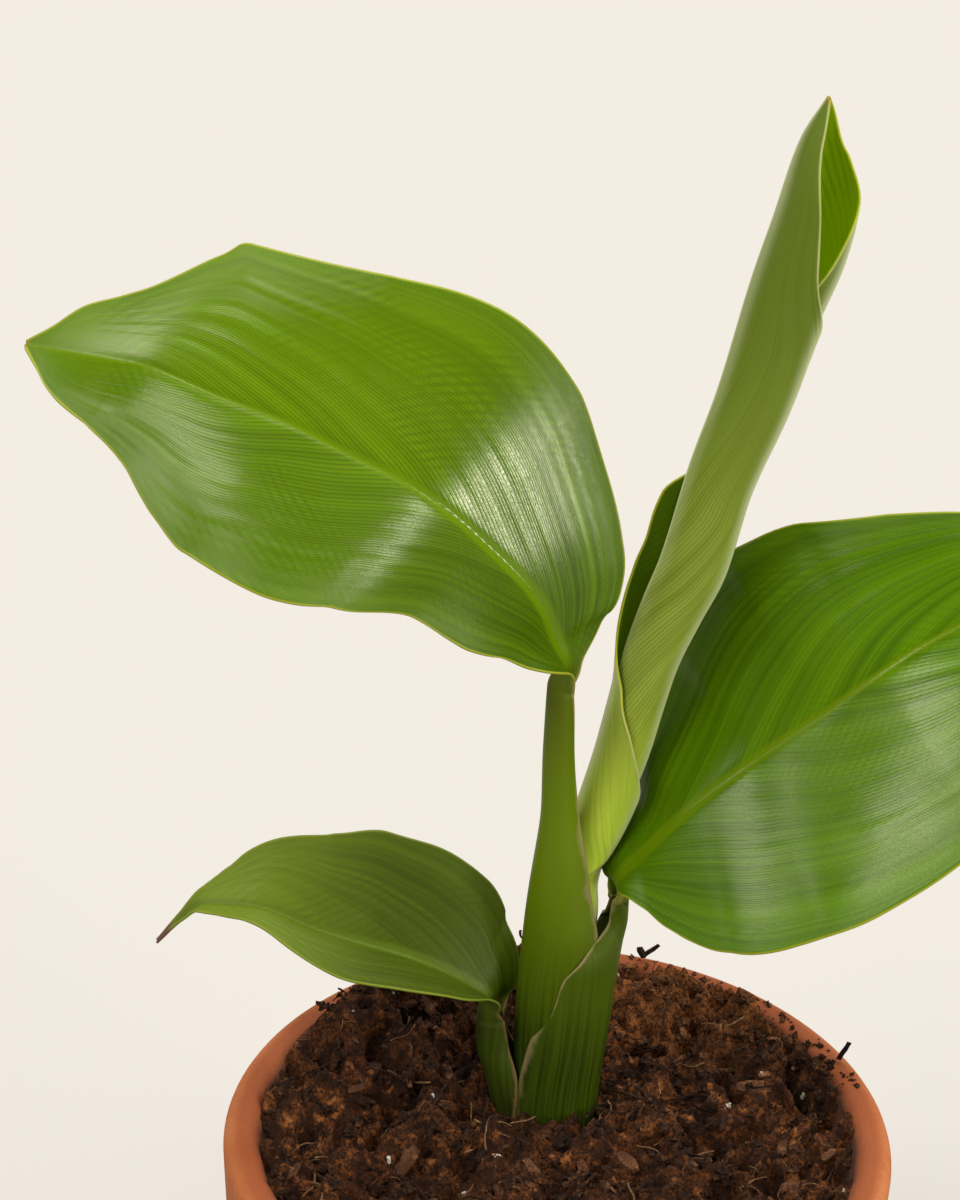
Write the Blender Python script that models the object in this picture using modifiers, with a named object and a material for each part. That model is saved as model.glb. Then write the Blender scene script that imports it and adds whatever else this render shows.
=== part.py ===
# Potted white bird of paradise (Strelitzia nicolai): a young plant with four leaves in a terracotta pot.
# The script works in metres with +Z up, the pot standing on z = 0 with its axis on the Z axis.
# Numbers in the constants and lists below are in millimetres and degrees, and MM turns lengths into metres.
import math

import bmesh
import bpy
import numpy as np
from mathutils import Vector, noise

MM = 0.001

# Terracotta pot, a common 13 cm one
POT_HEIGHT = 115
RIM_RADIUS = 65
RIM_BAND = 24
RIM_STEP = 5
RIM_TAPER = 0.5
LIP_ROUNDING = 3
BAND_ROUNDING = 2
FOOT_RADIUS = 42
FOOT_ROUNDING = 1.5
WALL = 6.5
FLOOR = 8
FLOOR_ROUNDING = 3
DRAIN_RADIUS = 7
POT_SIDES = 48

# Potting mix, which stands clear of the pot by the gap
GAP = 0.3
SOIL_LEVEL = 111
SOIL_RINGS = 24
SOIL_RELIEF = 5
CRUMB = 9
HEAP_HEIGHT = 5
HEAP_AT = (-34, 38)
HEAP_SPREAD = 22
HEAP_TOP = 117
EDGE_TOP = 113.5
BACK_RISE = 0.04

# The leaf stalks stand together in one plain oval hole in the mix
CLUMP = (-2.9, 19)
CLUMP_HALF = (11.9, 11)
FOOT_Z = 78
HOLE_RISE = 30
HOLE_SIDES = 32

# Leaf sections
EDGE = 0.7
TIP_WIDTH = 0.4
OPEN_SPREAD = 1.25
RIDGE_WIDTH = 1.8
FINE_STEPS = 24
LOOSE_FROM = 270
SMALLEST_ROLL = 0.1

# Stations lie closer together at both ends of a blade and towards the top of a stalk
EVENNESS = 0.35
NEAR = 0.5
STALK_EASE = 0.75

LEAF_COLOUR = (0.085, 0.235, 0.018)
NEW_LEAF_COLOUR = (0.23, 0.33, 0.085)
OLD_LEAF_COLOUR = (0.06, 0.16, 0.02)
POT_COLOUR = (0.60, 0.24, 0.11)
SOIL_COLOUR = (0.045, 0.022, 0.012)

# Each leaf runs from its foot in the soil up a hollow stalk to the blade and its tip.
# stalk: x, y, z of its inner back line, inner radius, wrap of the minus and plus sides, wall at the back
# stalk_faces: the way that the hollow side of the stalk looks
# midrib: x, y, z of the blade's middle line, from above the stalk's top to the tip
# The other lists start with a share of the blade's length, from 0 at the stalk to 1 at the tip.
# faces: the way that the upper side looks
# width, rise, turn: for the minus and plus halves, the width, the rise at the midrib, the turn to the edge
# ridge: thickness at the midrib
# waves: for the minus and plus halves, how many, how high and where they start
UPPER_LEFT = {
    "name": "leaf_upper_left",
    "colour": LEAF_COLOUR,
    "stalk": [
        (-7.6, 20.2, 78, 5.8, 165, 120, 1.6),
        (-7.7, 20.2, 110, 5.8, 165, 120, 1.6),
        (-7.5, 20.1, 143, 6.2, 160, 105, 1.5),
        (-6.3, 18.7, 154, 5.2, 150, 60, 1.5),
        (-4.8, 16.9, 166.5, 3.7, 150, 50, 1.5),
        (-3.6, 15.4, 178, 2.0, 140, 80, 1.8),
        (-3.3, 14.6, 191, 0.8, 140, 140, 2.0),
        (-3.2, 14.2, 204, 0.8, 140, 140, 2.0),
    ],
    "stalk_faces": (1, -0.3, 0),
    "midrib": [
        (-2, 13.5, 208), (-4, 13, 213.7), (-7, 12.2, 221.2), (-18.5, 11, 234.5), (-29.5, 10, 244),
        (-42, 10, 250.5), (-53, 11, 255.5), (-64, 12, 259), (-82, 16, 264), (-102, 22, 264.5),
    ],
    "faces": [(0, 0.9, -0.5, 0.2), (0.1, 0.4, -0.75, 0.55), (0.5, 0.1, -0.75, 0.65), (1, -0.1, -0.7, 0.7)],
    "width": [
        (0.03, 3.5, 4), (0.06, 6, 9), (0.1, 10, 14.5), (0.2, 18.5, 25), (0.28, 20.5, 32), (0.38, 29.5, 35),
        (0.5, 33.5, 32.5),
        (0.6, 31.5, 29.5), (0.67, 26, 30.5), (0.73, 19.5, 26.5), (0.82, 14.5, 14.5), (0.9, 9.5, 9),
        (0.96, 4, 3.5), (1, 0.5, 0.5),
    ],
    "rise": [(0.1, 14, 14), (0.5, 12, 12), (1, 8, 8)],
    "turn": [(0.04, 60, 60), (0.12, 14, 14), (0.5, -8, -8), (1, 0, 0)],
    "ridge": [(0.2, 1.8), (0.6, 1.1), (1, 0.7)],
    "sweep": (0, 25),
    "waves": ((2.0, 2.5, 0.3), (1.5, 2, 0.6)),
    "columns": (8, 8),
    "steps": (12, 24),
}
RIGHT = {
    "name": "leaf_right",
    "colour": LEAF_COLOUR,
    "stalk": [
        (5.9, 20.9, 78, 8.1, 122, 122, 2.0),
        (5.9, 20.9, 108, 8.1, 122, 122, 2.0),
        (6.6, 21.0, 120, 8.3, 116, 116, 2.1),
        (7.5, 21.0, 129, 8.3, 109, 109, 2.2),
        (8.2, 20.9, 135, 7.9, 96, 96, 2.2),
        (9.3, 20.7, 142, 7.0, 82, 82, 2.2),
        (10.2, 19.8, 149, 1.6, 130, 130, 2.1),
        (10.0, 18.2, 156, 0.8, 140, 140, 2.0),
    ],
    "stalk_faces": (-1, -0.25, 0),
    "midrib": [
        (9.8, 16.8, 161), (13.5, 15.5, 167.5), (24.5, 14, 181), (35, 13, 191.5), (45.5, 13, 200.5),
        (56, 14, 209.5), (65.5, 16, 216), (82.5, 20, 224), (94, 24, 226.5), (102, 27.5, 224.5),
    ],
    "faces": [(0, -0.9, -0.4, 0.2), (0.1, -0.4, -0.75, 0.55), (0.5, -0.15, -0.72, 0.68), (1, 0, -0.7, 0.7)],
    "width": [
        (0.04, 2, 4), (0.07, 4, 10), (0.14, 10.5, 21), (0.23, 19, 30), (0.33, 28, 36), (0.44, 35.5, 40),
        (0.55, 32, 38.5), (0.67, 25, 31), (0.77, 18, 22), (0.86, 11, 13), (0.95, 4, 4.5), (1, 0.5, 0.5),
    ],
    "rise": [(0.08, -28, 14), (0.15, -28, 14), (0.22, -15, 14), (0.35, -5, 12), (0.5, 8, 12), (1, 8, 8)],
    "turn": [(0.04, 30, 60), (0.12, -5, 14), (0.5, -8, -8), (1, 0, 0)],
    "ridge": [(0.2, 1.8), (0.6, 1.1), (1, 0.7)],
    "sweep": (-15, 25),
    "waves": ((1.5, 2, 0.2), (2.0, 2, 0.5)),
    "columns": (8, 8),
    "steps": (12, 24),
}
LOWER_LEFT = {
    "name": "leaf_lower_left",
    "colour": OLD_LEAF_COLOUR,
    "stalk": [
        (-9.8, 18.6, 78, 8.1, 38, 38, 4.0),
        (-9.8, 18.6, 105, 8.1, 38, 38, 4.0),
        (-11.6, 18.2, 114, 3.6, 60, 60, 3.2),
        (-13.4, 17.8, 121, 1.4, 130, 130, 2.2),
        (-14.0, 17.3, 127.5, 1.2, 140, 140, 2.1),
    ],
    "stalk_faces": (1, 0, 0),
    "midrib": [
        (-14.5, 16.7, 131.5), (-18.5, 16, 135.5), (-28.5, 15.5, 141), (-38.5, 15.5, 144), (-48, 16, 146.5),
        (-62, 17, 151), (-71, 18, 150.5), (-76, 18.5, 146.5), (-81, 19, 140.5),
    ],
    "faces": [(0, 0.9, -0.1, 0.5), (0.1, 0.3, -0.35, 0.9), (0.5, 0, -0.38, 0.92), (1, -0.3, -0.2, 0.9)],
    "width": [
        (0.04, 3, 4), (0.09, 7, 10), (0.18, 15, 18), (0.3, 18, 22.5), (0.38, 18, 23), (0.5, 13, 19.5),
        (0.64, 7, 14), (0.76, 4.5, 6), (0.86, 2.5, 1.5), (0.92, 1, 0.8), (1, 0.5, 0.5),
    ],
    "rise": [(0.1, 36, 34), (0.5, 36, 34), (1, 10, 10)],
    "turn": [(0.04, 60, 60), (0.12, 10, 0), (0.5, -10, -10), (1, 0, 0)],
    "ridge": [(0.2, 1.6), (0.6, 1.1), (0.9, 0.8), (1, 0.8)],
    "sweep": (0, 25),
    "waves": ((1.0, 1, 0.2), (1.0, 1, 0.5)),
    "columns": (6, 6),
    "steps": (8, 20),
}

# The rolled leaf's minus half is the outside of the roll and its plus half the inside.
# roll: share, radius at the midrib, spacing of the layers, least radius of the loose part past LOOSE_FROM
ROLLED = {
    "name": "leaf_rolled",
    "colour": NEW_LEAF_COLOUR,
    "stalk": [
        (0, 19.5, 78, 0.8, 140, 140, 1.6),
        (0, 19.5, 120, 0.8, 140, 140, 1.6),
        (0.8, 20.2, 138, 0.8, 140, 140, 1.4),
        (1.4, 21, 146, 0.9, 140, 140, 1.2),
    ],
    "stalk_faces": (1, 0, 0),
    "midrib": [
        (2.2, 21.6, 153), (3.2, 22, 162), (5.4, 22, 176), (8.9, 22, 188.5), (12.8, 21.7, 206.8),
        (16.3, 21, 227), (20.5, 20.5, 246.7), (24.5, 20, 262), (29, 19.5, 283), (31.5, 19.5, 293),
        (35, 19, 308.5), (38.5, 19, 316),
    ],
    "faces": [(0, 1, 0, 0), (1, 1, 0, 0)],
    "width": [
        (0.03, 4.5, 2), (0.06, 10, 2.5), (0.1, 19, 4), (0.14, 26.5, 7), (0.18, 31, 9), (0.23, 31, 12),
        (0.29, 28.5, 15), (0.36, 28.5, 18), (0.42, 32.5, 22), (0.48, 36.5, 25), (0.535, 35, 28),
        (0.58, 30, 29), (0.62, 26, 30), (0.68, 22, 31), (0.75, 16.5, 31), (0.81, 14.5, 28), (0.87, 12.5, 24), (0.92, 9, 17),
        (0.96, 4.5, 8), (1, 0.5, 0.5),
    ],
    "roll": [
        (0.03, 1.3, 1.6, 1), (0.06, 1.6, 1.6, 1), (0.1, 2.1, 1.6, 1), (0.14, 2.6, 1.6, 1), (0.18, 3, 1.6, 2),
        (0.23, 3.2, 1.6, 4), (0.29, 3.3, 1.5, 6), (0.36, 3.5, 1.5, 9), (0.42, 4, 1.5, 18),
        (0.48, 4.6, 1.5, 40), (0.58, 5.1, 1.5, 40), (0.72, 6.2, 1.5, 40), (0.84, 7.4, 1.5, 40), (0.9, 6.8, 1.5, 40),
        (0.95, 4, 1.5, 40), (1, 1, 1.5, 40),
    ],
    "ridge": [(0.06, 1), (0.2, 1), (0.35, 1), (0.6, 0.7), (1, 0.7)],
    "columns": (20, 12),
    "steps": (6, 40),
}


def clear_scene():
    for item in list(bpy.data.objects):
        bpy.data.objects.remove(item, do_unlink=True)


def new_collection(name):
    made = bpy.data.collections.new(name)
    bpy.context.scene.collection.children.link(made)
    return made


def material(name, colour, roughness):
    made = bpy.data.materials.new(name)
    made.use_nodes = True
    shader = made.node_tree.nodes["Principled BSDF"]
    shader.inputs["Base Color"].default_value = (*colour, 1)
    shader.inputs["Roughness"].default_value = roughness
    shader.inputs["Metallic"].default_value = 0
    return made


def mesh_object(name, points, faces, collection, surface):
    mesh = bpy.data.meshes.new(name)
    mesh.from_pydata([tuple(point) for point in points], [], faces)
    shape = bmesh.new()
    shape.from_mesh(mesh)
    bmesh.ops.recalc_face_normals(shape, faces=shape.faces)
    shape.to_mesh(mesh)
    shape.free()
    made = bpy.data.objects.new(name, mesh)
    collection.objects.link(made)
    mesh.materials.append(surface)
    return made


def smooth(keys, rows, at):
    """A curve through the rows, one for each key, that never overshoots them, read at other keys."""
    keys = np.array(keys, float)
    rows = np.array(rows, float).reshape(len(keys), -1)
    chords = np.diff(rows, axis=0) / np.diff(keys)[:, None]
    before, after = chords[:-1], chords[1:]
    level = before * after <= 0
    steady = np.where(level, 0, 2 * before * after / np.where(level, 1, before + after))
    slopes = np.vstack([chords[:1], steady, chords[-1:]])
    low = np.clip(np.searchsorted(keys, at, side="right") - 1, 0, len(keys) - 2)
    span = (keys[low + 1] - keys[low])[:, None]
    part = (np.asarray(at) - keys[low])[:, None] / span
    start = (2 * part**3 - 3 * part**2 + 1) * rows[low] + (part**3 - 2 * part**2 + part) * span * slopes[low]
    end = (3 * part**2 - 2 * part**3) * rows[low + 1] + (part**3 - part**2) * span * slopes[low + 1]
    return start + end


def arc(centre, radius, start, end, steps):
    angles = [math.radians(start + (end - start) * step / steps) for step in range(steps + 1)]
    return [(centre[0] + radius * math.cos(a), centre[1] + radius * math.sin(a)) for a in angles]


def pot_inner_radius(height):
    """The inner wall runs straight from the floor's rounding to the lip."""
    foot = FLOOR + FLOOR_ROUNDING
    low = FOOT_RADIUS - WALL
    return low + (RIM_RADIUS - WALL - low) * (height - foot) / (POT_HEIGHT - foot)


def turned(name, profile, surface, collection):
    """An object turned about the Z axis from a profile that runs down its outer side."""
    mesh = bpy.data.meshes.new(name)
    points = [(radius * MM, 0, height * MM) for radius, height in profile]
    closed = profile[0][0] > 0
    edges = [(i, (i + 1) % len(points)) for i in range(len(points) - (0 if closed else 1))]
    mesh.from_pydata(points, edges, [])
    mesh.materials.append(surface)
    made = bpy.data.objects.new(name, mesh)
    collection.objects.link(made)
    turn = made.modifiers.new("turn", "SCREW")
    turn.steps = POT_SIDES
    turn.render_steps = POT_SIDES
    turn.use_merge_vertices = True
    turn.merge_threshold = 0.0001
    return made


def add_pot(collection):
    lip = LIP_ROUNDING
    band = BAND_ROUNDING
    foot = FOOT_ROUNDING
    floor = FLOOR_ROUNDING
    band_foot = POT_HEIGHT - RIM_BAND
    lip_height = POT_HEIGHT - lip
    profile = arc((RIM_RADIUS - lip, lip_height), lip, 90, 0, 4)
    profile += arc((RIM_RADIUS - RIM_TAPER - band, band_foot + band), band, 0, -90, 3)
    profile += [(RIM_RADIUS - RIM_STEP, band_foot)]
    profile += arc((FOOT_RADIUS - foot, foot), foot, 0, -90, 2)
    profile += [(DRAIN_RADIUS, 0), (DRAIN_RADIUS, FLOOR)]
    profile += arc((FOOT_RADIUS - WALL - floor, FLOOR + floor), floor, -90, 0, 2)
    profile += arc((pot_inner_radius(lip_height) + lip, lip_height), lip, 180, 90, 4)
    return turned("pot", profile, material("terracotta", POT_COLOUR, 0.85), collection)


def soil_height(x, y):
    """Lumpy crumbs that rise a little to the back, with a heap at the back left."""
    lumps = noise.turbulence(Vector((x / CRUMB, y / CRUMB, 0.3)), 3, False)
    heap = math.exp(-((x - HEAP_AT[0]) ** 2 + (y - HEAP_AT[1]) ** 2) / HEAP_SPREAD**2)
    height = SOIL_LEVEL + BACK_RISE * y + SOIL_RELIEF * (lumps - 0.5) + HEAP_HEIGHT * heap
    return min(height, HEAP_TOP)


def add_soil(collection, cutters):
    """A turned plug of mix with its flat top raised into lumps, and the hole that the stalks stand in."""
    reach = pot_inner_radius(SOIL_LEVEL) - GAP
    foot = FLOOR + FLOOR_ROUNDING
    low = pot_inner_radius(foot) - GAP
    profile = [(reach * ring / SOIL_RINGS, SOIL_LEVEL) for ring in range(SOIL_RINGS + 1)]
    profile += [(low, foot), (low - FLOOR_ROUNDING, FLOOR + GAP), (0, FLOOR + GAP)]
    plug = turned("plug", profile, material("soil", SOIL_COLOUR, 0.95), collection)
    graph = bpy.context.evaluated_depsgraph_get()
    mesh = bpy.data.meshes.new_from_object(plug.evaluated_get(graph))
    bpy.data.objects.remove(plug, do_unlink=True)
    shape = bmesh.new()
    shape.from_mesh(mesh)
    bmesh.ops.triangulate(shape, faces=shape.faces)
    shape.to_mesh(mesh)
    shape.free()
    for point in mesh.vertices:
        if point.co.z < (SOIL_LEVEL - GAP) * MM:
            continue
        height = soil_height(point.co.x / MM, point.co.y / MM)
        flat = math.hypot(point.co.x, point.co.y)
        if flat > (reach - GAP) * MM:
            height = min(height, EDGE_TOP)
            spread = (pot_inner_radius(height) - GAP) * MM / flat
            point.co.x *= spread
            point.co.y *= spread
        point.co.z = height * MM
    soil = bpy.data.objects.new("soil", mesh)
    collection.objects.link(soil)

    floor = FOOT_Z - GAP
    depth = SOIL_LEVEL + HOLE_RISE - floor
    bpy.ops.mesh.primitive_cylinder_add(vertices=HOLE_SIDES, radius=MM, depth=depth * MM)
    hole = bpy.context.active_object
    hole.name = "clump_hole"
    hole.scale = (CLUMP_HALF[0], CLUMP_HALF[1], 1)
    hole.location = (CLUMP[0] * MM, CLUMP[1] * MM, (floor + depth / 2) * MM)
    hole.hide_render = True
    hole.display_type = "WIRE"
    for holder in list(hole.users_collection):
        holder.objects.unlink(hole)
    cutters.objects.link(hole)
    cut = soil.modifiers.new("clump_hole", "BOOLEAN")
    cut.operation = "DIFFERENCE"
    cut.object = hole
    return soil


def blade_values(leaf, name, places, stalk_values):
    """The stalk's values of one kind and then the blade's, read at the stations."""
    keys, top, length, at = places
    stalk_keys = list(keys[: len(leaf["stalk"])])
    blade = leaf[name]
    blade_keys = [top + row[0] * length for row in blade if row[0] > 0]
    rows = [tuple(row) for row in stalk_values] + [tuple(row[1:]) for row in blade if row[0] > 0]
    return smooth(stalk_keys + blade_keys, rows, at)


def leaf_places(leaf):
    """The leaf's path, the lengths along it of its points, stalk top and stations, and the blade's length."""
    path = np.array([row[:3] for row in leaf["stalk"]] + leaf["midrib"], float)
    keys = np.concatenate([[0], np.cumsum(np.linalg.norm(np.diff(path, axis=0), axis=1))])
    top = keys[len(leaf["stalk"]) - 1]
    length = keys[-1] - top
    low, high = leaf["steps"]
    stalk_at = top * (np.arange(low) / low) ** STALK_EASE
    even = np.arange(high + 1) / high
    eased = (1 - np.cos(np.pi * even)) / 2
    blade_at = top + length * (EVENNESS * even + (1 - EVENNESS) * eased)
    return path, keys, top, length, np.concatenate([stalk_at, blade_at])


def leaf_frames(leaf, path, places):
    """For each station the path's point and the directions along it, sideways and to the upper side."""
    keys, at = places[0], places[3]
    middle = smooth(keys, path, at)
    along = smooth(keys, path, at + NEAR) - smooth(keys, path, at - NEAR)
    along /= np.linalg.norm(along, axis=1)[:, None]
    faces = blade_values(leaf, "faces", places, [leaf["stalk_faces"]] * len(leaf["stalk"]))
    faces -= (faces * along).sum(1)[:, None] * along
    faces /= np.linalg.norm(faces, axis=1)[:, None]
    return middle, along, np.cross(along, faces), faces


def open_directions(shares, rise, turn):
    return math.radians(rise) + math.radians(turn) * shares


def rolled_directions(reach, radius, spacing, loose):
    """Direction along a spiral that starts at the midrib; spacing is negative on the inner half."""
    growth = spacing / (2 * math.pi)
    if abs(growth) < 1e-4:
        return reach / radius
    left = np.maximum(radius**2 + 2 * growth * reach, SMALLEST_ROLL**2)
    tight = (np.sqrt(left) - radius) / growth
    if spacing < 0:
        return tight
    limit = math.radians(LOOSE_FROM)
    past = reach - (radius * limit + growth * limit**2 / 2)
    return np.where(past > 0, np.minimum(tight, limit + past / loose), tight)


def half_section(width, directions_at, columns, spread):
    """Points from the midrib to the edge, sideways and up, with the direction at each."""
    fine = columns * FINE_STEPS
    edges = width * (np.arange(fine + 1) / fine)
    middles = (edges[1:] + edges[:-1]) / 2
    directions = directions_at(middles)
    step = width / fine
    side = np.concatenate([[0], np.cumsum(np.cos(directions)) * step])
    up = np.concatenate([[0], np.cumsum(np.sin(directions)) * step])
    wanted = width * (np.arange(1, columns + 1) / columns) ** spread
    return (np.interp(wanted, edges, side), np.interp(wanted, edges, up), directions_at(wanted), wanted)


def open_half(leaf, half, width, rise, turn, share):
    """One half of an open section: sideways, along and up from the midrib, the direction, and the reach."""
    side, up, angles, reach = half_section(
        width, lambda at: open_directions(at / width, rise, turn), leaf["columns"][half], OPEN_SPREAD
    )
    base_sweep, tip_sweep = leaf["sweep"]
    sweep = math.tan(math.radians(base_sweep + (tip_sweep - base_sweep) * share)) if share else 0
    count, height, phase = leaf["waves"][half]
    swell = math.sin(math.pi * min(share, 1)) ** 0.5
    wave = height * swell * math.sin(2 * math.pi * (count * share + phase)) * (reach / width) ** 2
    angles = angles - math.radians(min(rise, 0)) * np.exp(-((reach / RIDGE_WIDTH) ** 2))
    return side, side * sweep, up + wave, angles, reach


def rolled_half(leaf, half, width, radius, spacing, loose):
    """One half of a rolled section, like an open half."""
    side, up, angles, reach = half_section(
        width, lambda at: rolled_directions(at, radius, spacing, loose), leaf["columns"][half], 1
    )
    return side, side * 0, up, angles, reach


def leaf_surfaces(leaf):
    """Two grids of points, the upper face and the lower face, from foot to tip."""
    path, keys, top, length, at = leaf_places(leaf)
    places = (keys, top, length, at)
    middle, along, sideways, upward = leaf_frames(leaf, path, places)
    stalk = np.array(leaf["stalk"], float)
    radius, wrap, wall = stalk[:, 3], stalk[:, 4:6], stalk[:, 6]
    widths = blade_values(leaf, "width", places, radius[:, None] * np.radians(wrap))
    ridge = blade_values(leaf, "ridge", places, wall[:, None])[:, 0]
    rolled = "roll" in leaf
    if rolled:
        roll = blade_values(leaf, "roll", places, [(r, 0, 1) for r in radius])
    else:
        rise = blade_values(leaf, "rise", places, np.zeros_like(wrap))
        turn = blade_values(leaf, "turn", places, wrap)
    upper, lower = [], []
    for k, place in enumerate(at):
        share = max(0.0, (place - top) / length)
        ridge_width = widths[k].mean()
        if place > top:
            ridge_width = min(ridge_width, RIDGE_WIDTH)
        rows = {}
        for half, sign in enumerate((-1, 1)):
            width = max(widths[k, half], TIP_WIDTH)
            if rolled:
                start, spacing, loose = roll[k]
                section = rolled_half(leaf, half, width, start, -sign * spacing, loose)
            else:
                section = open_half(leaf, half, width, rise[k, half], turn[k, half], share)
            side, forward, up, angles, reach = section
            face = middle[k] + np.outer(sign * side, sideways[k])
            face += np.outer(forward, along[k]) + np.outer(up, upward[k])
            inward = np.outer(-sign * np.sin(angles), sideways[k]) + np.outer(np.cos(angles), upward[k])
            thick = EDGE + (ridge[k] - EDGE) * np.exp(-((reach / ridge_width) ** 2))
            rows[sign] = (face, face - inward * thick[:, None])
        upper.append(np.vstack([rows[-1][0][::-1], middle[k], rows[1][0]]))
        lower.append(np.vstack([rows[-1][1][::-1], middle[k] - upward[k] * ridge[k], rows[1][1]]))
    return np.array(upper), np.array(lower)


def add_leaf(leaf, collection, surface):
    upper, lower = leaf_surfaces(leaf)
    rows, columns = upper.shape[:2]
    size = rows * columns
    points = np.vstack([upper.reshape(-1, 3), lower.reshape(-1, 3)]) * MM
    faces = []
    for row in range(rows - 1):
        for column in range(columns - 1):
            a = row * columns + column
            b, c, d = a + 1, a + columns + 1, a + columns
            faces += [(a, b, c), (a, c, d), (size + a, size + c, size + b), (size + a, size + d, size + c)]
    border = [row * columns for row in range(rows)]
    border += [(rows - 1) * columns + column for column in range(1, columns)]
    border += [row * columns + columns - 1 for row in range(rows - 2, -1, -1)]
    border += [column for column in range(columns - 2, 0, -1)]
    for first, after in zip(border, border[1:] + border[:1]):
        faces += [(first, after, size + after), (first, size + after, size + first)]
    return mesh_object(leaf["name"], points, faces, collection, surface)


def main():
    clear_scene()
    plant = new_collection("potted_white_bird_of_paradise")
    cutters = new_collection("cutters")
    add_pot(plant)
    add_soil(plant, cutters)
    for leaf in (UPPER_LEFT, ROLLED, RIGHT, LOWER_LEFT):
        add_leaf(leaf, plant, material(leaf["name"], leaf["colour"], 0.35))


main()
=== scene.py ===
# Potted white bird of paradise: the looks of a young plant with four leaves in a terracotta pot.
import random
from math import cos, exp, hypot, pi, radians, sin, sqrt, tan

import bpy
import numpy as np
from mathutils import Matrix, Vector, noise


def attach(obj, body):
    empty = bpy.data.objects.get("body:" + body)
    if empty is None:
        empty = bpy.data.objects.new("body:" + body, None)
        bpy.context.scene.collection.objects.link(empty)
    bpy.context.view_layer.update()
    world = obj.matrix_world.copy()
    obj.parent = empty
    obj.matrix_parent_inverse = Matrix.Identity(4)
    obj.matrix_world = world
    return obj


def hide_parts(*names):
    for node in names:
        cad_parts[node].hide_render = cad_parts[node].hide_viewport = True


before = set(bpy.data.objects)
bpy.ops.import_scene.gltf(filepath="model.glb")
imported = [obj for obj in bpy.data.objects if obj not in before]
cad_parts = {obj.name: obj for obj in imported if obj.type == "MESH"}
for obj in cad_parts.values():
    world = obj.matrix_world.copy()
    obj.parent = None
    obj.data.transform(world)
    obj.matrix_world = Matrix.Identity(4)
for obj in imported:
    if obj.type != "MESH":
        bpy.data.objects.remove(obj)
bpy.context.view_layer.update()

bpy.ops.object.select_all(action="DESELECT")
mm = 0.001  # lengths below are in millimetres, and this turns them into metres


# Small helpers for meshes

def placePiece(piece, name, nodes=()):
    piece.name = piece.data.name = name
    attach(piece, "root")
    if nodes:
        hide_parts(*nodes)
    piece.select_set(False)


def smoothRows(keys, rows, at):
    # a curve through the rows, one for each key, that never overshoots them
    keys = np.array(keys, float)
    rows = np.array(rows, float).reshape(len(keys), -1)
    chords = np.diff(rows, axis=0) / np.diff(keys)[:, None]
    before, after = chords[:-1], chords[1:]
    level = before * after <= 0
    steady = np.where(level, 0, 2 * before * after / np.where(level, 1, before + after))
    slopes = np.vstack([chords[:1], steady, chords[-1:]])
    low = np.clip(np.searchsorted(keys, at, side="right") - 1, 0, len(keys) - 2)
    span = (keys[low + 1] - keys[low])[:, None]
    part = (np.asarray(at) - keys[low])[:, None] / span
    ease = part * part * (3 - 2 * part)
    bend = part * (part - 1) * ((part - 1) * slopes[low] + part * slopes[low + 1])
    return rows[low] + ease * (rows[low + 1] - rows[low]) + span * bend


def startEdit(action="SELECT"):
    bpy.ops.object.mode_set(mode="EDIT")
    bpy.ops.mesh.select_all(action=action)


# Small helpers for shader nodes. They add to the node tree that was begun last.

begun = []


def feed(socket, value):
    if isinstance(value, bpy.types.NodeSocket):
        begun[-1].links.new(value, socket)
    elif isinstance(value, (tuple, list)) and len(value) == 3 and socket.type == "RGBA":
        socket.default_value = (*value, 1)
    else:
        socket.default_value = value


def nodeOf(kind, values=(), output=0, **settings):
    # a node with its settings and inputs, of which one output is given back, or all for None
    made = begun[-1].nodes.new("ShaderNode" + kind)
    for name, value in settings.items():
        setattr(made, name, value)
    for key, value in values.items() if isinstance(values, dict) else enumerate(values):
        feed(made.inputs[key], value)
    return made.outputs if output is None else made.outputs[output]


def mathOf(operation, *values, clamp=False):
    return nodeOf("Math", values, operation=operation, use_clamp=clamp)


def timesOf(first, second, clamp=False):
    return mathOf("MULTIPLY", first, second, clamp=clamp)


def plusOf(first, second):
    return mathOf("ADD", first, second)


def rangeOf(value, low, high, toLow=0, toHigh=1):
    return nodeOf("MapRange", (value, low, high, toLow, toHigh), interpolation_type="SMOOTHSTEP")


def lengthOf(value, span, *shown):
    # the same for a span in millimetres
    return rangeOf(value, span[0] * mm, span[1] * mm, *shown)


def mixOf(factor, first, second):
    return nodeOf("Mix", {"Factor": factor, 6: first, 7: second}, 2, data_type="RGBA")


def layersOf(colour, *layers):
    # each layer is a mask and the colour that it lays over what is below
    for mask, laid in layers:
        colour = mixOf(mask, colour, laid)
    return colour


def noiseOf(place, scale, detail=2, roughness=0.5):
    return nodeOf("TexNoise", {"Vector": place, "Scale": scale, "Detail": detail, "Roughness": roughness})


def streakOf(first, second, row):
    # noise over two lengths; the row has the scale of each, a shift and the detail
    place = nodeOf("CombineXYZ", (timesOf(first, row[0]), timesOf(second, row[1]), row[2]))
    return noiseOf(place, 1, row[3])


def objectPlace():
    return nodeOf("TexCoord", (), "Object")


def newMaterial(name, roughness, **settings):
    made = bpy.data.materials.new(name)
    made.use_nodes = True
    begun.append(made.node_tree)
    shader = made.node_tree.nodes["Principled BSDF"]
    for label, value in {"Roughness": roughness, **settings}.items():
        feed(shader.inputs[label.replace("_", " ")], value)
    return made, shader


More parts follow.
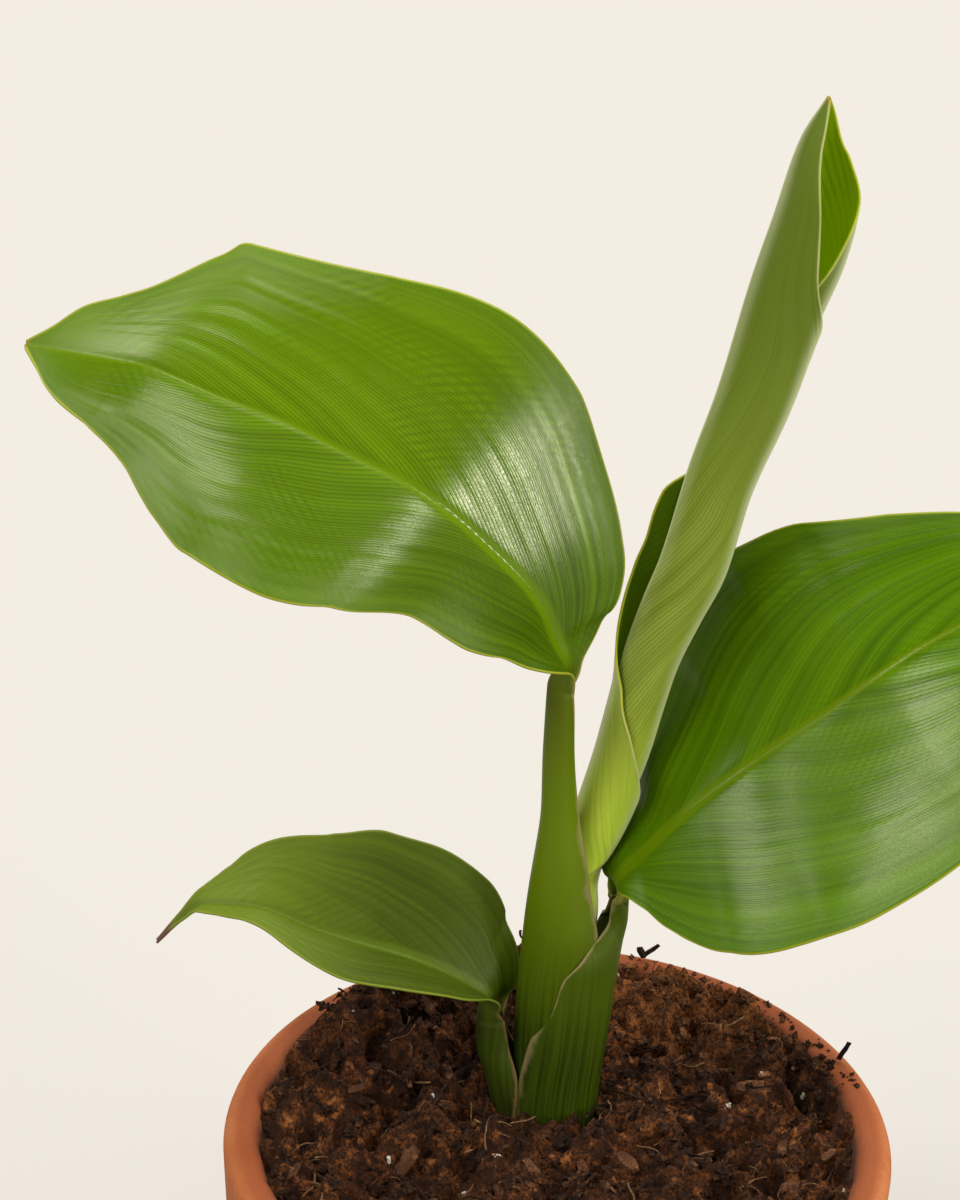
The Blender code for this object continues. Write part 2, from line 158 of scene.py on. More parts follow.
def newGroup(name, inputs, outputs):
    # a group of nodes whose outputs are plain numbers
    made = bpy.data.node_groups.new(name, "ShaderNodeTree")
    begun.append(made)
    for label, kind, value in inputs:
        socket = made.interface.new_socket(label, in_out="INPUT", socket_type="NodeSocket" + kind)
        if value is not None:
            socket.default_value = value
    for label in outputs:
        made.interface.new_socket(label, in_out="OUTPUT", socket_type="NodeSocketFloat")
    return made, made.nodes.new("NodeGroupInput").outputs, made.nodes.new("NodeGroupOutput").inputs


def fillGroup(sockets, *values):
    for socket, value in zip(sockets, values):
        feed(socket, value)


def addBump(shader, height, distance):
    feed(shader.inputs["Normal"], nodeOf("Bump", {"Distance": distance, "Height": height}))


# Camera, floor and light

view = {
    "place": (0, -454.9, 446.7), "yaw": -2.25, "pitch": 25.7, "roll": 1.5, "lens": 85, "sensor": 36,
    "nearest": 20, "floorSize": 14, "floorColour": (0.36, 0.345, 0.31), "floorGrain": 1.03,
    "floorGlow": (0.31, 0.29, 0.29), "backColour": (0.919, 0.86, 0.78), "roomColour": (0.3, 0.29, 0.27),
    "mirrorColour": (0.12, 0.115, 0.105), "lampColour": (1.0, 0.975, 0.93),
    # lamps: name, degrees round from straight ahead to the right, height in degrees, strength, spread in
    # degrees, and whether shiny surfaces show it
    "lamps": [
        ("rightLamp", 138, 8, 0.78, 9, True), ("fillLamp", 110, 35, 1.25, 60, False),
        ("leftLamp", -133, 49, 1.1, 20, True), ("lowLamp", -96, 27, 0.6, 18, True),
        ("patchLamp", 104, 40, 0.46, 13, True), ("overLamp", -176, 68, 0.6, 18, True),
        ("topLamp", 30, 60, 1.6, 45, True),
    ],
}


def aim(turn, height):
    # the direction at these degrees round from straight ahead to the right and up
    turn, height = radians(turn), radians(height)
    return Vector((sin(turn) * cos(height), cos(turn) * cos(height), sin(height)))


def addLamp(name, turn, height, strength, spread, shiny):
    source = aim(turn, height)
    bpy.ops.object.light_add(type="SUN", location=source * 3)
    lamp = bpy.context.active_object
    lamp.name = name
    lamp.data.energy = strength
    lamp.data.angle = radians(spread)
    lamp.data.color = view["lampColour"]
    lamp.visible_glossy = shiny
    lamp.rotation_euler = source.to_track_quat("Z", "Y").to_euler()
    lamp.select_set(False)


def buildView():
    bpy.ops.object.camera_add(location=[value * mm for value in view["place"]])
    camera = bpy.context.active_object
    camera.name = "camera"
    level = aim(view["yaw"], -view["pitch"]).to_track_quat("-Z", "Y").to_matrix()
    camera.rotation_euler = (level @ Matrix.Rotation(radians(view["roll"]), 3, "Z")).to_euler()
    camera.data.lens = view["lens"]
    camera.data.sensor_width = view["sensor"]
    camera.data.clip_start = view["nearest"] * mm
    camera.select_set(False)
    bpy.context.scene.camera = camera

    bpy.ops.mesh.primitive_plane_add(size=view["floorSize"])
    floor = bpy.context.active_object
    floor.name = "floor"
    made, shader = newMaterial("paleFloor", 0.9, Specular_IOR_Level=0.1, Emission_Color=view["floorGlow"])
    paler = [value * view["floorGrain"] for value in view["floorColour"]]
    grain = noiseOf(objectPlace(), 1.5)
    feed(shader.inputs["Base Color"], mixOf(grain, view["floorColour"], paler))
    feed(shader.inputs["Emission Strength"], nodeOf("LightPath", (), "Is Camera Ray"))
    floor.data.materials.append(made)
    floor.select_set(False)

    # the backdrop is seen pale, while the room's own light is dim
    world = bpy.data.worlds.new("softRoom")
    world.use_nodes = True
    begun.append(world.node_tree)
    rays = nodeOf("LightPath", (), None)
    seen = layersOf(
        view["roomColour"], (rays["Is Glossy Ray"], view["mirrorColour"]),
        (rays["Is Camera Ray"], view["backColour"]))
    feed(world.node_tree.nodes["Background"].inputs["Color"], seen)
    bpy.context.scene.world = world
    bpy.context.scene.view_settings.view_transform = "Standard"
    for lamp in view["lamps"]:
        addLamp(*lamp)


buildView()
print("camera, floor and light are set")


# Node groups that several materials share

veinForm = {
    # streaks: the scales of the two lengths, a shift and the detail
    "bend": (0.03, 0.1, 0, 1), "bendReach": 1.5, "wide": (0.085, 0.008, 3, 2), "narrow": (0.4, 0.012, 9, 1),
    "wideShare": 0.58, "stripeSpan": (0.3, 0.7), "lineWidth": 0.32, "wander": (0.3, 0.8, 5, 2),
    "barRate": 0.7, "barWidth": 0.4, "patchScale": 45, "patchSpan": (0.42, 0.62), "grain": (2600, 2, 0.6),
    "blotches": (28, 3, 0.55),
}
speckleForm = {"fine": (4, 0.65), "spotScale": 0.6, "spotSpan": (0.12, 0.3, 1, 0), "blotchScale": 0.035}


def leafVeinGroup():
    # parallel veins, the broad stripes between them, small cross veins, and the fine grain of the skin
    form = veinForm
    made, given, out = newGroup(
        "leafVeins",
        [("Vein", "Float", 0), ("Run", "Float", 0), ("Place", "Vector", None), ("Spacing", "Float", 1.3)],
        ("Stripes", "Lines", "Cross", "Grain", "Blotches"))
    vein, run, place, spacing = given[:4]
    waved = plusOf(vein, timesOf(streakOf(run, vein, form["bend"]), form["bendReach"]))
    share = mathOf("PINGPONG", mathOf("DIVIDE", waved, spacing), 0.5)
    lines = rangeOf(share, 0, form["lineWidth"], 1, 0)
    wide = timesOf(streakOf(waved, run, form["wide"]), form["wideShare"])
    narrow = timesOf(streakOf(waved, run, form["narrow"]), 1 - form["wideShare"])
    stripes = rangeOf(plusOf(wide, narrow), *form["stripeSpan"])
    wander = streakOf(run, vein, form["wander"])
    bars = mathOf("PINGPONG", timesOf(plusOf(run, wander), form["barRate"]), 0.5)
    patches = rangeOf(noiseOf(place, form["patchScale"]), *form["patchSpan"])
    bars = rangeOf(bars, 0, form["barWidth"], 1, 0)
    cross = timesOf(bars, timesOf(patches, stripes))
    grain = noiseOf(place, *form["grain"])
    fillGroup(out, stripes, lines, cross, grain, noiseOf(place, *form["blotches"]))
    return made


def speckleGroup():
    # dust, grains and blotches on clay and in the mix
    form = speckleForm
    made, given, out = newGroup(
        "speckle", [("Place", "Vector", None), ("Size", "Float", 900)], ("Fine", "Spots", "Blotches"))
    place, size = given[:2]
    cells = nodeOf("TexVoronoi", {"Vector": place, "Scale": timesOf(size, form["spotScale"])})
    blotches = noiseOf(place, timesOf(size, form["blotchScale"]), 4, 0.6)
    fine, spots = noiseOf(place, size, *form["fine"]), rangeOf(cells, *form["spotSpan"])
    fillGroup(out, fine, spots, blotches)
    return made


leafVeins = leafVeinGroup()
speckle = speckleGroup()
print("node groups are made")


# Leaves. Each runs from its foot in the mix up a hollow stalk to the blade and its tip.
# stalk: x, y, z of the inner back line, inner radius, wrap of the minus and plus sides, wall at the back
# midrib: x, y, z of the blade's middle line
# the other lists start with a share of the blade's length, from 0 at the stalk to 1 at the tip
# width, rise, turn: for the minus and plus halves, the width, the rise at the midrib, the turn to the edge

openLeaf = {
    "slot": "leaf_green", "ridge": [(0.2, 1.8), (0.6, 1.1), (1, 0.5)], "columns": (60, 60),
    "steps": (50, 150), "ripple": 0.02, "tipLength": 1.5,
}
upperLeftLeaf = {
    **openLeaf, "name": "leafUpperLeft", "node": "leaf_upper_left",
    "stalk": [
        (-7.7, 16.6, 78, 6.1, 131, 156, 1.6), (-7.7, 16.6, 120, 6.1, 131, 156, 1.6),
        (-7.4, 16.2, 134, 6.6, 135, 150, 1.6), (-6.7, 16, 147, 6.8, 137, 135, 1.5),
        (-6, 15.3, 157, 5.8, 132, 110, 1.5), (-4.9, 14.5, 168, 4.4, 128, 95, 1.5),
        (-3.9, 14.1, 178, 2.6, 138, 110, 1.8), (-3.7, 13.8, 191, 1.7, 155, 150, 2.1),
        (-3.4, 13.6, 204, 1.5, 142, 142, 2.1),
    ],
    "stalkFaces": (1, 0.35, 0), "topFaces": (1, -0.1, 0),
    "midrib": [
        (-2, 13.5, 208), (-4, 13, 213.7), (-7, 12.2, 221.2), (-18.5, 11, 234.5), (-29.5, 10, 244),
        (-42, 10, 250.5), (-53, 11, 255.5), (-64, 12, 259), (-82, 16, 264), (-102, 22, 264.5),
    ],
    "faces": [(0, 0.9, -0.5, 0.2), (0.1, 0.4, -0.75, 0.55), (0.5, 0.1, -0.75, 0.65), (1, -0.1, -0.7, 0.7)],
    "width": [
        (0.03, 3.5, 4), (0.06, 7, 9), (0.1, 12, 14.5), (0.2, 19.5, 25), (0.28, 21, 31.8), (0.38, 28.7, 35),
        (0.5, 32.6, 32), (0.6, 30.5, 29.2), (0.67, 25.2, 28.8), (0.73, 18.9, 24), (0.82, 14.2, 13.7),
        (0.9, 9.5, 9), (0.96, 4, 3.5), (1, 0.5, 0.5),
    ],
    "rise": [(0.1, 14, 14), (0.5, 12, 12), (1, 8, 8)],
    "turn": [(0.04, 60, 60), (0.12, 14, 14), (0.5, -8, -8), (1, 0, 0)],
    "sweep": (0, 25), "waves": ((2, 2.5, 0.3), (1.5, 2, 0.6)), "veinReach": (62, 78), "sway": 0.11,
}
rightLeaf = {
    **openLeaf, "name": "leafRight", "node": "leaf_right",
    "stalk": [
        (5.9, 20.9, 78, 8.1, 122, 155, 1.8), (5.9, 20.9, 108, 8.1, 122, 155, 1.8),
        (6.9, 21, 122, 8.2, 110, 146, 1.9), (7.6, 21, 130, 8.1, 95, 130, 2),
        (8, 20.9, 135, 8, 70, 116, 2), (8.5, 20.8, 140, 7.9, 50, 112, 2),
        (9.2, 20.3, 146, 6.6, 45, 96, 2), (10.1, 19.2, 151, 1.6, 110, 115, 1.9),
        (10.1, 18.2, 156, 0.8, 140, 140, 1.9),
    ],
    "stalkFaces": (-1, -0.25, 0),
    "midrib": [
        (9, 15.9, 160.6), (13.2, 15.1, 167.2), (24.5, 14, 181), (35, 13, 191.5), (45.5, 13, 200.5),
        (56, 14, 209.5), (65.5, 16, 216), (82.5, 20, 224), (94, 24, 226.5), (102, 27.5, 224.5),
    ],
    "faces": [(0, -0.9, -0.4, 0.2), (0.1, -0.4, -0.75, 0.55), (0.5, -0.15, -0.72, 0.68), (1, 0, -0.7, 0.7)],
    "width": [
        (0.03, 3.2, 1.6), (0.07, 9.5, 5), (0.14, 19, 17), (0.23, 25.5, 29.2), (0.33, 32.4, 36.2),
        (0.44, 37.4, 39.6), (0.55, 34.4, 38.5), (0.67, 25, 31), (0.77, 18, 22), (0.86, 11, 13),
        (0.95, 4, 4.5), (1, 0.5, 0.5),
    ],
    "rise": [(0.08, -28, 14), (0.15, -28, 14), (0.22, -15, 14), (0.35, -5, 12), (0.5, 8, 12), (1, 8, 8)],
    "turn": [(0.04, 10, 15), (0.12, -5, 14), (0.5, -8, -8), (1, 0, 0)],
    "sweep": (-27, 25), "waves": ((1.5, 2, 0.2), (2, 2, 0.5)), "veinReach": (70, 70), "sway": 0.08,
}
lowerLeftLeaf = {
    "name": "leafLowerLeft", "node": "leaf_lower_left", "slot": "old_leaf_green",
    "stalk": [
        (-9.8, 18.6, 78, 8.1, 38, 38, 4), (-9.8, 18.6, 105, 8.1, 38, 38, 4),
        (-12.2, 18.2, 114, 4.4, 85, 80, 3), (-14.4, 17.8, 121, 2.4, 125, 125, 2.6),
        (-14.8, 17.3, 127.5, 1.7, 140, 140, 2.3),
    ],
    "stalkFaces": (1, 0, 0),
    "midrib": [
        (-14.5, 16.7, 131.5), (-18.5, 16, 135.5), (-28.5, 15.5, 141), (-38.5, 15.5, 144), (-48, 16, 146.5),
        (-62, 17, 151), (-71, 18, 150.5), (-76, 18.5, 146.5), (-81, 19, 140.5),
    ],
    "faces": [(0, 0.9, -0.1, 0.5), (0.1, 0.3, -0.35, 0.9), (0.5, 0, -0.38, 0.92), (1, -0.3, -0.2, 0.9)],
    "width": [
        (0.04, 3, 6), (0.09, 7, 13), (0.18, 15, 20.5), (0.3, 18, 23), (0.38, 18, 23), (0.5, 13, 19.5),
        (0.64, 7, 14), (0.76, 4.5, 6), (0.86, 2.5, 1.5), (0.92, 1, 0.8), (1, 0.5, 0.5),
    ],
    "rise": [(0.1, 36, 34), (0.5, 36, 34), (1, 10, 10)],
    "turn": [(0.04, 60, 60), (0.12, 10, 0), (0.5, -10, -10), (1, 0, 0)],
    "ridge": [(0.2, 1.6), (0.6, 1.1), (0.9, 0.7), (1, 0.6)],
    "sweep": (0, 25), "waves": ((1, 1, 0.2), (1, 1, 0.5)), "columns": (44, 44), "steps": (40, 120),
    "veinReach": (50, 50), "ripple": 0.03, "sway": 0.12, "tipLength": 6.5,
}
# The rolled leaf's minus half is the outside of the roll and its plus half the inside.
# roll: share, radius at the midrib, spacing of the layers, least radius of the loose part
rolledLeaf = {
    "name": "leafRolled", "node": "leaf_rolled", "slot": "new_leaf_green",
    "stalk": [
        (-5, 19, 78, 4.6, 150, 150, 1.6), (-5, 19, 124, 4.6, 150, 150, 1.6),
        (-3.8, 19.4, 137, 4.6, 150, 150, 1.4), (-1.5, 20.4, 148, 3.6, 150, 150, 1.2),
    ],
    "stalkFaces": (1, 0, 0),
    "midrib": [
        (-0.8, 21.6, 157), (0.6, 22, 165), (3.1, 22, 175.2), (5.7, 22, 186), (7.7, 22, 197.2), (9.4, 22, 207),
        (12.5, 21.8, 218.6), (15.2, 21.5, 227.1), (19.5, 21, 246.5), (23.6, 20.5, 261.5), (28.2, 19.8, 283),
        (31, 19.5, 294), (34.6, 19.1, 308.4), (38.5, 19, 316),
    ],
    "faces": [(0, 1, 0, 0), (1, 1, 0, 0)],
    "width": [
        (0.03, 19, 3), (0.06, 26, 5), (0.1, 33.4, 7), (0.14, 38.6, 9), (0.18, 41.3, 11), (0.22, 39.6, 14),
        (0.26, 37.6, 16), (0.3, 34.9, 18), (0.34, 34.2, 20), (0.38, 34.6, 22), (0.42, 35.6, 24),
        (0.46, 36.4, 26), (0.5, 36.8, 28), (0.53, 36.2, 29.5), (0.57, 30.6, 31), (0.62, 27.5, 31.5),
        (0.66, 26, 31.5), (0.7, 24.5, 31.5), (0.74, 22, 31.3), (0.78, 17.7, 30.5), (0.82, 14.2, 29),
        (0.86, 12, 26.5), (0.9, 9.9, 21.5), (0.94, 6.8, 14.5), (0.97, 4.5, 8), (1, 1.2, 1.2),
    ],
    "roll": [
        (0.03, 3.1, 1.2, 1.5), (0.06, 2.8, 1.3, 2), (0.1, 2.8, 1.5, 3), (0.14, 3.1, 1.6, 3.5),
        (0.18, 3.4, 1.6, 4), (0.24, 3.8, 1.5, 4.5), (0.3, 4.1, 1.3, 5), (0.36, 4.5, 1.2, 7),
        (0.43, 5.1, 1.2, 14), (0.48, 5.4, 1.2, 40), (0.55, 5.4, 1.2, 40), (0.6, 5.6, 1.2, 40),
        (0.68, 6.1, 1.2, 40), (0.74, 6.4, 1.2, 40), (0.84, 7.2, 1.2, 40), (0.9, 6.8, 1.2, 40),
        (0.95, 4.6, 1.2, 40), (1, 1.4, 1.2, 40),
    ],
    "ridge": [(0.06, 0.9), (0.35, 0.9), (0.6, 0.7), (1, 0.4)],
    "columns": (110, 66), "steps": (40, 220), "veinReach": (80, 80), "ripple": 0, "sway": 0.04,
    "tipLength": 1.5,
}
leafForm = {
    "edge": 0.4, "tipWidth": 0.35, "spread": 1.12, "ridgeWidth": 1.8, "wallShare": 0.62, "fineSteps": 6,
    "looseFrom": 270, "smallestRoll": 0.1, "evenness": 0.35, "near": 0.5, "stalkEase": 0.75,
    "veinHold": 0.86, "veinStretch": (1, 1.07), "runShares": (0.6, 0.8), "groove": 0.16, "grooveWidth": 1,
    # the ripples between the veins and the slow sway fade out at the blade's ends and at the midrib
    "rippleLength": 6.3, "rippleBend": (1.3, 0.21), "swaySize": (10, 26), "baseFade": 12, "tipFade": 6,
    "calmReach": 1.5, "calmFade": 5,
}


def leafPlaces(leaf):
    # the path, the lengths along it of its points, the stalk's top, the blade's length and the stations
    path = np.array([row[:3] for row in leaf["stalk"]] + leaf["midrib"], float)
    keys = np.concatenate([[0], np.cumsum(np.linalg.norm(np.diff(path, axis=0), axis=1))])
    top = keys[len(leaf["stalk"]) - 1]
    length = keys[-1] - top
    low, high = leaf["steps"]
    stalkAt = top * (np.arange(low) / low) ** leafForm["stalkEase"]
    even = np.arange(high + 1) / high
    eased = (1 - np.cos(np.pi * even)) / 2
    bladeAt = top + length * (leafForm["evenness"] * even + (1 - leafForm["evenness"]) * eased)
    return path, keys, top, length, np.concatenate([stalkAt, bladeAt])


def leafValues(leaf, label, places, stalkRows):
    # the stalk's values of one kind and then the blade's, read at the stations
    keys, top, length, at = places
    rows = [row for row in leaf[label] if row[0] > 0]
    allKeys = list(keys[: len(leaf["stalk"])]) + [top + row[0] * length for row in rows]
    return smoothRows(allKeys, [tuple(row) for row in stalkRows] + [tuple(row[1:]) for row in rows], at)


def leafFrames(leaf, path, places):
    # for each station the path's point and the directions along it, sideways and to the upper side
    keys, at = places[0], places[3]
    near = leafForm["near"]
    along = smoothRows(keys, path, at + near) - smoothRows(keys, path, at - near)
    along /= np.linalg.norm(along, axis=1)[:, None]
    stalkFaces = [leaf["stalkFaces"]] * (len(leaf["stalk"]) - 1) + [leaf.get("topFaces", leaf["stalkFaces"])]
    faces = leafValues(leaf, "faces", places, stalkFaces)
    faces -= (faces * along).sum(1)[:, None] * along
    faces /= np.linalg.norm(faces, axis=1)[:, None]
    return smoothRows(keys, path, at), along, np.cross(along, faces), faces


def rollDirections(reach, radius, spacing, loose):
    # direction along a spiral that starts at the midrib; spacing is negative on the inner half
    growth = spacing / (2 * pi)
    if abs(growth) < 1e-4:
        return reach / radius
    left = np.maximum(radius**2 + 2 * growth * reach, leafForm["smallestRoll"] ** 2)
    tight = (np.sqrt(left) - radius) / growth
    if spacing < 0:
        return tight
    limit = radians(leafForm["looseFrom"])
    past = reach - (radius * limit + growth * limit**2 / 2)
    return np.where(past > 0, np.minimum(tight, limit + past / loose), tight)


def halfSection(width, directionsAt, columns, spread):
    # a half's points sideways and up from the midrib, the slope there and the reach along the surface
    fine = columns * leafForm["fineSteps"]
    edges = width * (np.arange(fine + 1) / fine)
    directions = directionsAt((edges[1:] + edges[:-1]) / 2)
    side, up = (np.append(0, np.cumsum(part(directions)) * width / fine) for part in (np.cos, np.sin))
    wanted = width * (np.arange(1, columns + 1) / columns) ** spread
    return np.interp(wanted, edges, side), np.interp(wanted, edges, up), directionsAt(wanted), wanted


def openHalf(leaf, half, width, rise, turn, share):
    side, up, angles, reach = halfSection(
        width, lambda at: radians(rise) + radians(turn) * at / width,
        leaf["columns"][half], leafForm["spread"])
    baseSweep, tipSweep = leaf["sweep"]
    sweep = tan(radians(baseSweep + (tipSweep - baseSweep) * share)) if share else 0
    count, height, phase = leaf["waves"][half]
    swell = sin(pi * min(share, 1)) ** 0.5
    wave = height * swell * sin(2 * pi * (count * share + phase)) * (reach / width) ** 2
    angles = angles - radians(min(rise, 0)) * np.exp(-((reach / leafForm["ridgeWidth"]) ** 2))
    return side, side * sweep, up + wave, angles, reach


def surfaceDetail(leaf, half, reach, vein, shown):
    # how far ripples, sway and the groove at the midrib lift the surface
    form = leafForm
    depth, rate = form["rippleBend"]
    wave = np.sin(2 * pi * vein / form["rippleLength"] + depth * np.sin(vein * rate + half))
    long, wide = form["swaySize"]
    sway = [noise.noise(Vector((a / long, b / wide, half * 4))) for a, b in zip(vein, reach)]
    calm = np.clip((reach - form["calmReach"]) / form["calmFade"], 0, 1)
    lifted = (leaf["ripple"] * wave + leaf["sway"] * np.array(sway)) * shown * calm
    return lifted - form["groove"] * shown * np.exp(-((reach / form["grooveWidth"]) ** 2))


def leafGrid(leaf):
    # the upper face's points, its thickness there, and what the materials read, from foot to tip
    form = leafForm
    path, keys, top, length, at = leafPlaces(leaf)
    places = (keys, top, length, at)
    middle, along, sideways, upward = leafFrames(leaf, path, places)
    stalk = np.array(leaf["stalk"], float)
    radius, wrap, wall = stalk[:, 3], stalk[:, 4:6], stalk[:, 6]
    widths = leafValues(leaf, "width", places, radius[:, None] * np.radians(wrap))
    ridge = leafValues(leaf, "ridge", places, wall[:, None])[:, 0]
    rolled = "roll" in leaf
    if rolled:
        roll = leafValues(leaf, "roll", places, [(r, 0, 1) for r in radius])
    else:
        rise = leafValues(leaf, "rise", places, np.zeros_like(wrap))
        turn = leafValues(leaf, "turn", places, wrap)
    runOfTop, runOfReach = form["runShares"]
    rows = []
    for k, place in enumerate(at):
        fromTop = place - top
        share = max(0.0, fromTop / length)
        meanWidth = widths[k].mean()
        ridgeWidth = min(meanWidth, form["ridgeWidth"]) if place > top else meanWidth * form["wallShare"]
        shown = min(1, max(0, fromTop / form["baseFade"])) * min(1, max(0, (1 - share) * form["tipFade"]))
        parts = []
        for half, sign in enumerate((-1, 1)):
            width = max(widths[k, half], form["tipWidth"])
            if rolled:
                start, spacing, loose = roll[k]
                side, up, angles, reach = halfSection(
                    width, lambda at: rollDirections(at, start, -sign * spacing, loose),
                    leaf["columns"][half], 1)
                forward = side * 0
            else:
                side, forward, up, angles, reach = openHalf(
                    leaf, half, width, rise[k, half], turn[k, half], share)
            vein = reach
            if place > top:
                vein = fromTop + leaf["veinReach"][half] * np.log(1 - form["veinHold"] * reach / width)
                vein = vein * form["veinStretch"][half]
            detail = surfaceDetail(leaf, half, reach, vein, shown)
            inward = np.outer(-sign * np.sin(angles), sideways[k]) + np.outer(np.cos(angles), upward[k])
            face = middle[k] + np.outer(sign * side, sideways[k])
            face += np.outer(forward, along[k]) + np.outer(up, upward[k]) + inward * detail[:, None]
            thick = form["edge"] + (ridge[k] - form["edge"]) * np.exp(-((reach / ridgeWidth) ** 2))
            run = fromTop * runOfTop + reach * runOfReach
            read = [thick, reach * 0 + fromTop, sign * reach, width - reach, vein, run, reach * 0 + place]
            parts.append(np.hstack([face, np.stack(read, axis=1)]))
        centre = np.concatenate([
            middle[k] - upward[k] * form["groove"] * shown,
            [ridge[k], fromTop, 0, meanWidth, fromTop, fromTop * runOfTop, place]])
        rows.append(np.vstack([parts[0][::-1], centre, parts[1]]))
    return np.array(rows)


leafAttributes = ("fromTop", "reach", "edge", "vein", "run", "fromFoot")


def buildLeaf(leaf, faceMaterial, backMaterial):
    grid = leafGrid(leaf)
    rows, columns = grid.shape[:2]
    bpy.ops.mesh.primitive_grid_add(x_subdivisions=columns - 1, y_subdivisions=rows - 1, size=1)
    piece = bpy.context.active_object
    mesh = piece.data
    flat = np.empty(len(mesh.vertices) * 3, np.float32)
    mesh.vertices.foreach_get("co", flat)
    spots = flat.reshape(-1, 3)
    column = np.rint((spots[:, 0] + 0.5) * (columns - 1)).astype(int)
    row = np.rint((spots[:, 1] + 0.5) * (rows - 1)).astype(int)
    data = grid[row, column]
    mesh.vertices.foreach_set("co", (data[:, :3] * mm).astype(np.float32).ravel())
    for number, label in enumerate(leafAttributes):
        values = mesh.attributes.new(label, "FLOAT", "POINT")
        values.data.foreach_set("value", data[:, 4 + number].astype(np.float32))
    thickest = data[:, 3].max()
    group = piece.vertex_groups.new(name="thickness")
    for index, value in enumerate(data[:, 3] / thickest):
        group.add([index], float(value), "REPLACE")
    mesh.materials.append(faceMaterial)
    mesh.materials.append(backMaterial)
    shell = piece.modifiers.new("shell", "SOLIDIFY")
    shell.thickness = thickest * mm
    shell.offset = -1
    shell.vertex_group = "thickness"
    shell.material_offset = 1
    shell.material_offset_rim = 0
    bpy.context.view_layer.objects.active = piece
    bpy.ops.object.modifier_apply(modifier="shell")
    bpy.ops.object.shade_smooth()
    placePiece(piece, leaf["name"], (leaf["node"],))


# Looks of the leaves' two sides. The spans in -From are lengths from the blade's foot, minus on the stalk.

greenFace = {
    "dark": (0.03, 0.066, 0), "light": (0.108, 0.208, 0), "line": (0.02, 0.052, 0), "pale": (0.12, 0.215, 0),
    "margin": (0.36, 0.38, 0.02), "midrib": (0.12, 0.215, 0), "sheath": (0.3, 0.24, 0.1),
    "tip": (0.38, 0.12, 0.02), "far": (0.14, 0.265, 0),
    # the stalk at its foot, further up and at its top
    "stalk": ((0.017, 0.032, 0), (0.118, 0.18, 0), (0.088, 0.12, 0)), "stalkFrom": (-86, -36),
    "topFrom": (-28, -4), "dryFrom": (-110, -70), "bladeFrom": (-2, 8), "farFrom": (15, 60), "farShow": 0.55,
    "paintedGlow": 0, "dullEdge": 9, "roughness": 0.19, "specular": 0.38, "shine": (1, 0.98, 0.76, 1),
    # paintedMinusShade: painted shade that darkens the minus half below the brighter, lit upper half
    "spacing": 1.9, "lineShow": 0.42, "crossShow": 0.38, "paintedMinusShade": 0.34, "paintedSheen": 0,
}
deepStalk = {
    "stalk": ((0.02, 0.034, 0), (0.055, 0.095, 0), (0.055, 0.085, 0)),
    "stalkFrom": (-40, -10), "dryFrom": (-52, -36),
}
deepFace = dict(
    greenFace, **deepStalk, dark=(0.047, 0.114, 0), light=(0.094, 0.202, 0), line=(0.02, 0.055, 0),
    pale=(0.105, 0.205, 0), midrib=(0.12, 0.195, 0), farShow=0, specular=0.27, paintedMinusShade=0, crossShow=0.28,
    lineShow=0.2)
greenBack = dict(
    greenFace, dark=(0.095, 0.16, 0.005), light=(0.165, 0.24, 0.015), line=(0.08, 0.13, 0),
    pale=(0.2, 0.27, 0.03), midrib=(0.17, 0.22, 0.01), farShow=0, roughness=0.42, specular=0.25, paintedMinusShade=0)
deepBack = dict(greenBack, **deepStalk)
# the young leaf's inner face: its far colour, bright at the top, and its glow are painted light, standing in
# for light that passes through the leaf
newFace = dict(
    greenFace, dark=(0.036, 0.078, 0), light=(0.07, 0.125, 0), pale=(0.09, 0.15, 0),
    midrib=(0.24, 0.32, 0.01), far=(0.29, 0.46, 0), farFrom=(100, 135), farShow=0.75, roughness=0.42,
    specular=0.2, paintedGlow=0.25, paintedMinusShade=0)
newBack = dict(
    greenFace, dark=(0.195, 0.255, 0.02), light=(0.3, 0.385, 0.05), line=(0.085, 0.13, 0),
    pale=(0.33, 0.41, 0.08), margin=(0.55, 0.56, 0.22), midrib=(0.3, 0.38, 0.04),
    # the stalk's top is made very pale as painted light, standing in for light through the leaf where it lies
    # in shade
    stalk=((0.1, 0.14, 0), (0.2, 0.24, 0.02), (0.56, 0.74, 0.055)), stalkFrom=(-30, -5), topFrom=(-5, 8),
    bladeFrom=(10, 60), far=(0.074, 0.128, 0), farFrom=(60, 150), farShow=0.75, roughness=0.44, specular=0.3,
    # paintedSheen: a painted sheen, pale where the surface turns away
    spacing=1.6, lineShow=0.5, crossShow=0.1, paintedMinusShade=0, paintedSheen=0.7)
oldFace = dict(
    greenFace, dark=(0.038, 0.06, 0), light=(0.075, 0.115, 0), pale=(0.1, 0.14, 0.01), far=(0.21, 0.3, 0.02),
    farFrom=(25, 62), midrib=(0.1, 0.15, 0.01),
    stalk=((0.012, 0.015, 0), (0.022, 0.03, 0), (0.035, 0.055, 0)), stalkFrom=(-20, -8),
    margin=(0.2, 0.24, 0.02), sheath=(0.22, 0.12, 0.05), tip=(0.13, 0.07, 0.04), roughness=0.42,
    specular=0.25, lineShow=0.22, paintedMinusShade=0)
oldBack = dict(oldFace, dark=(0.09, 0.14, 0.01), light=(0.15, 0.2, 0.03), roughness=0.5)
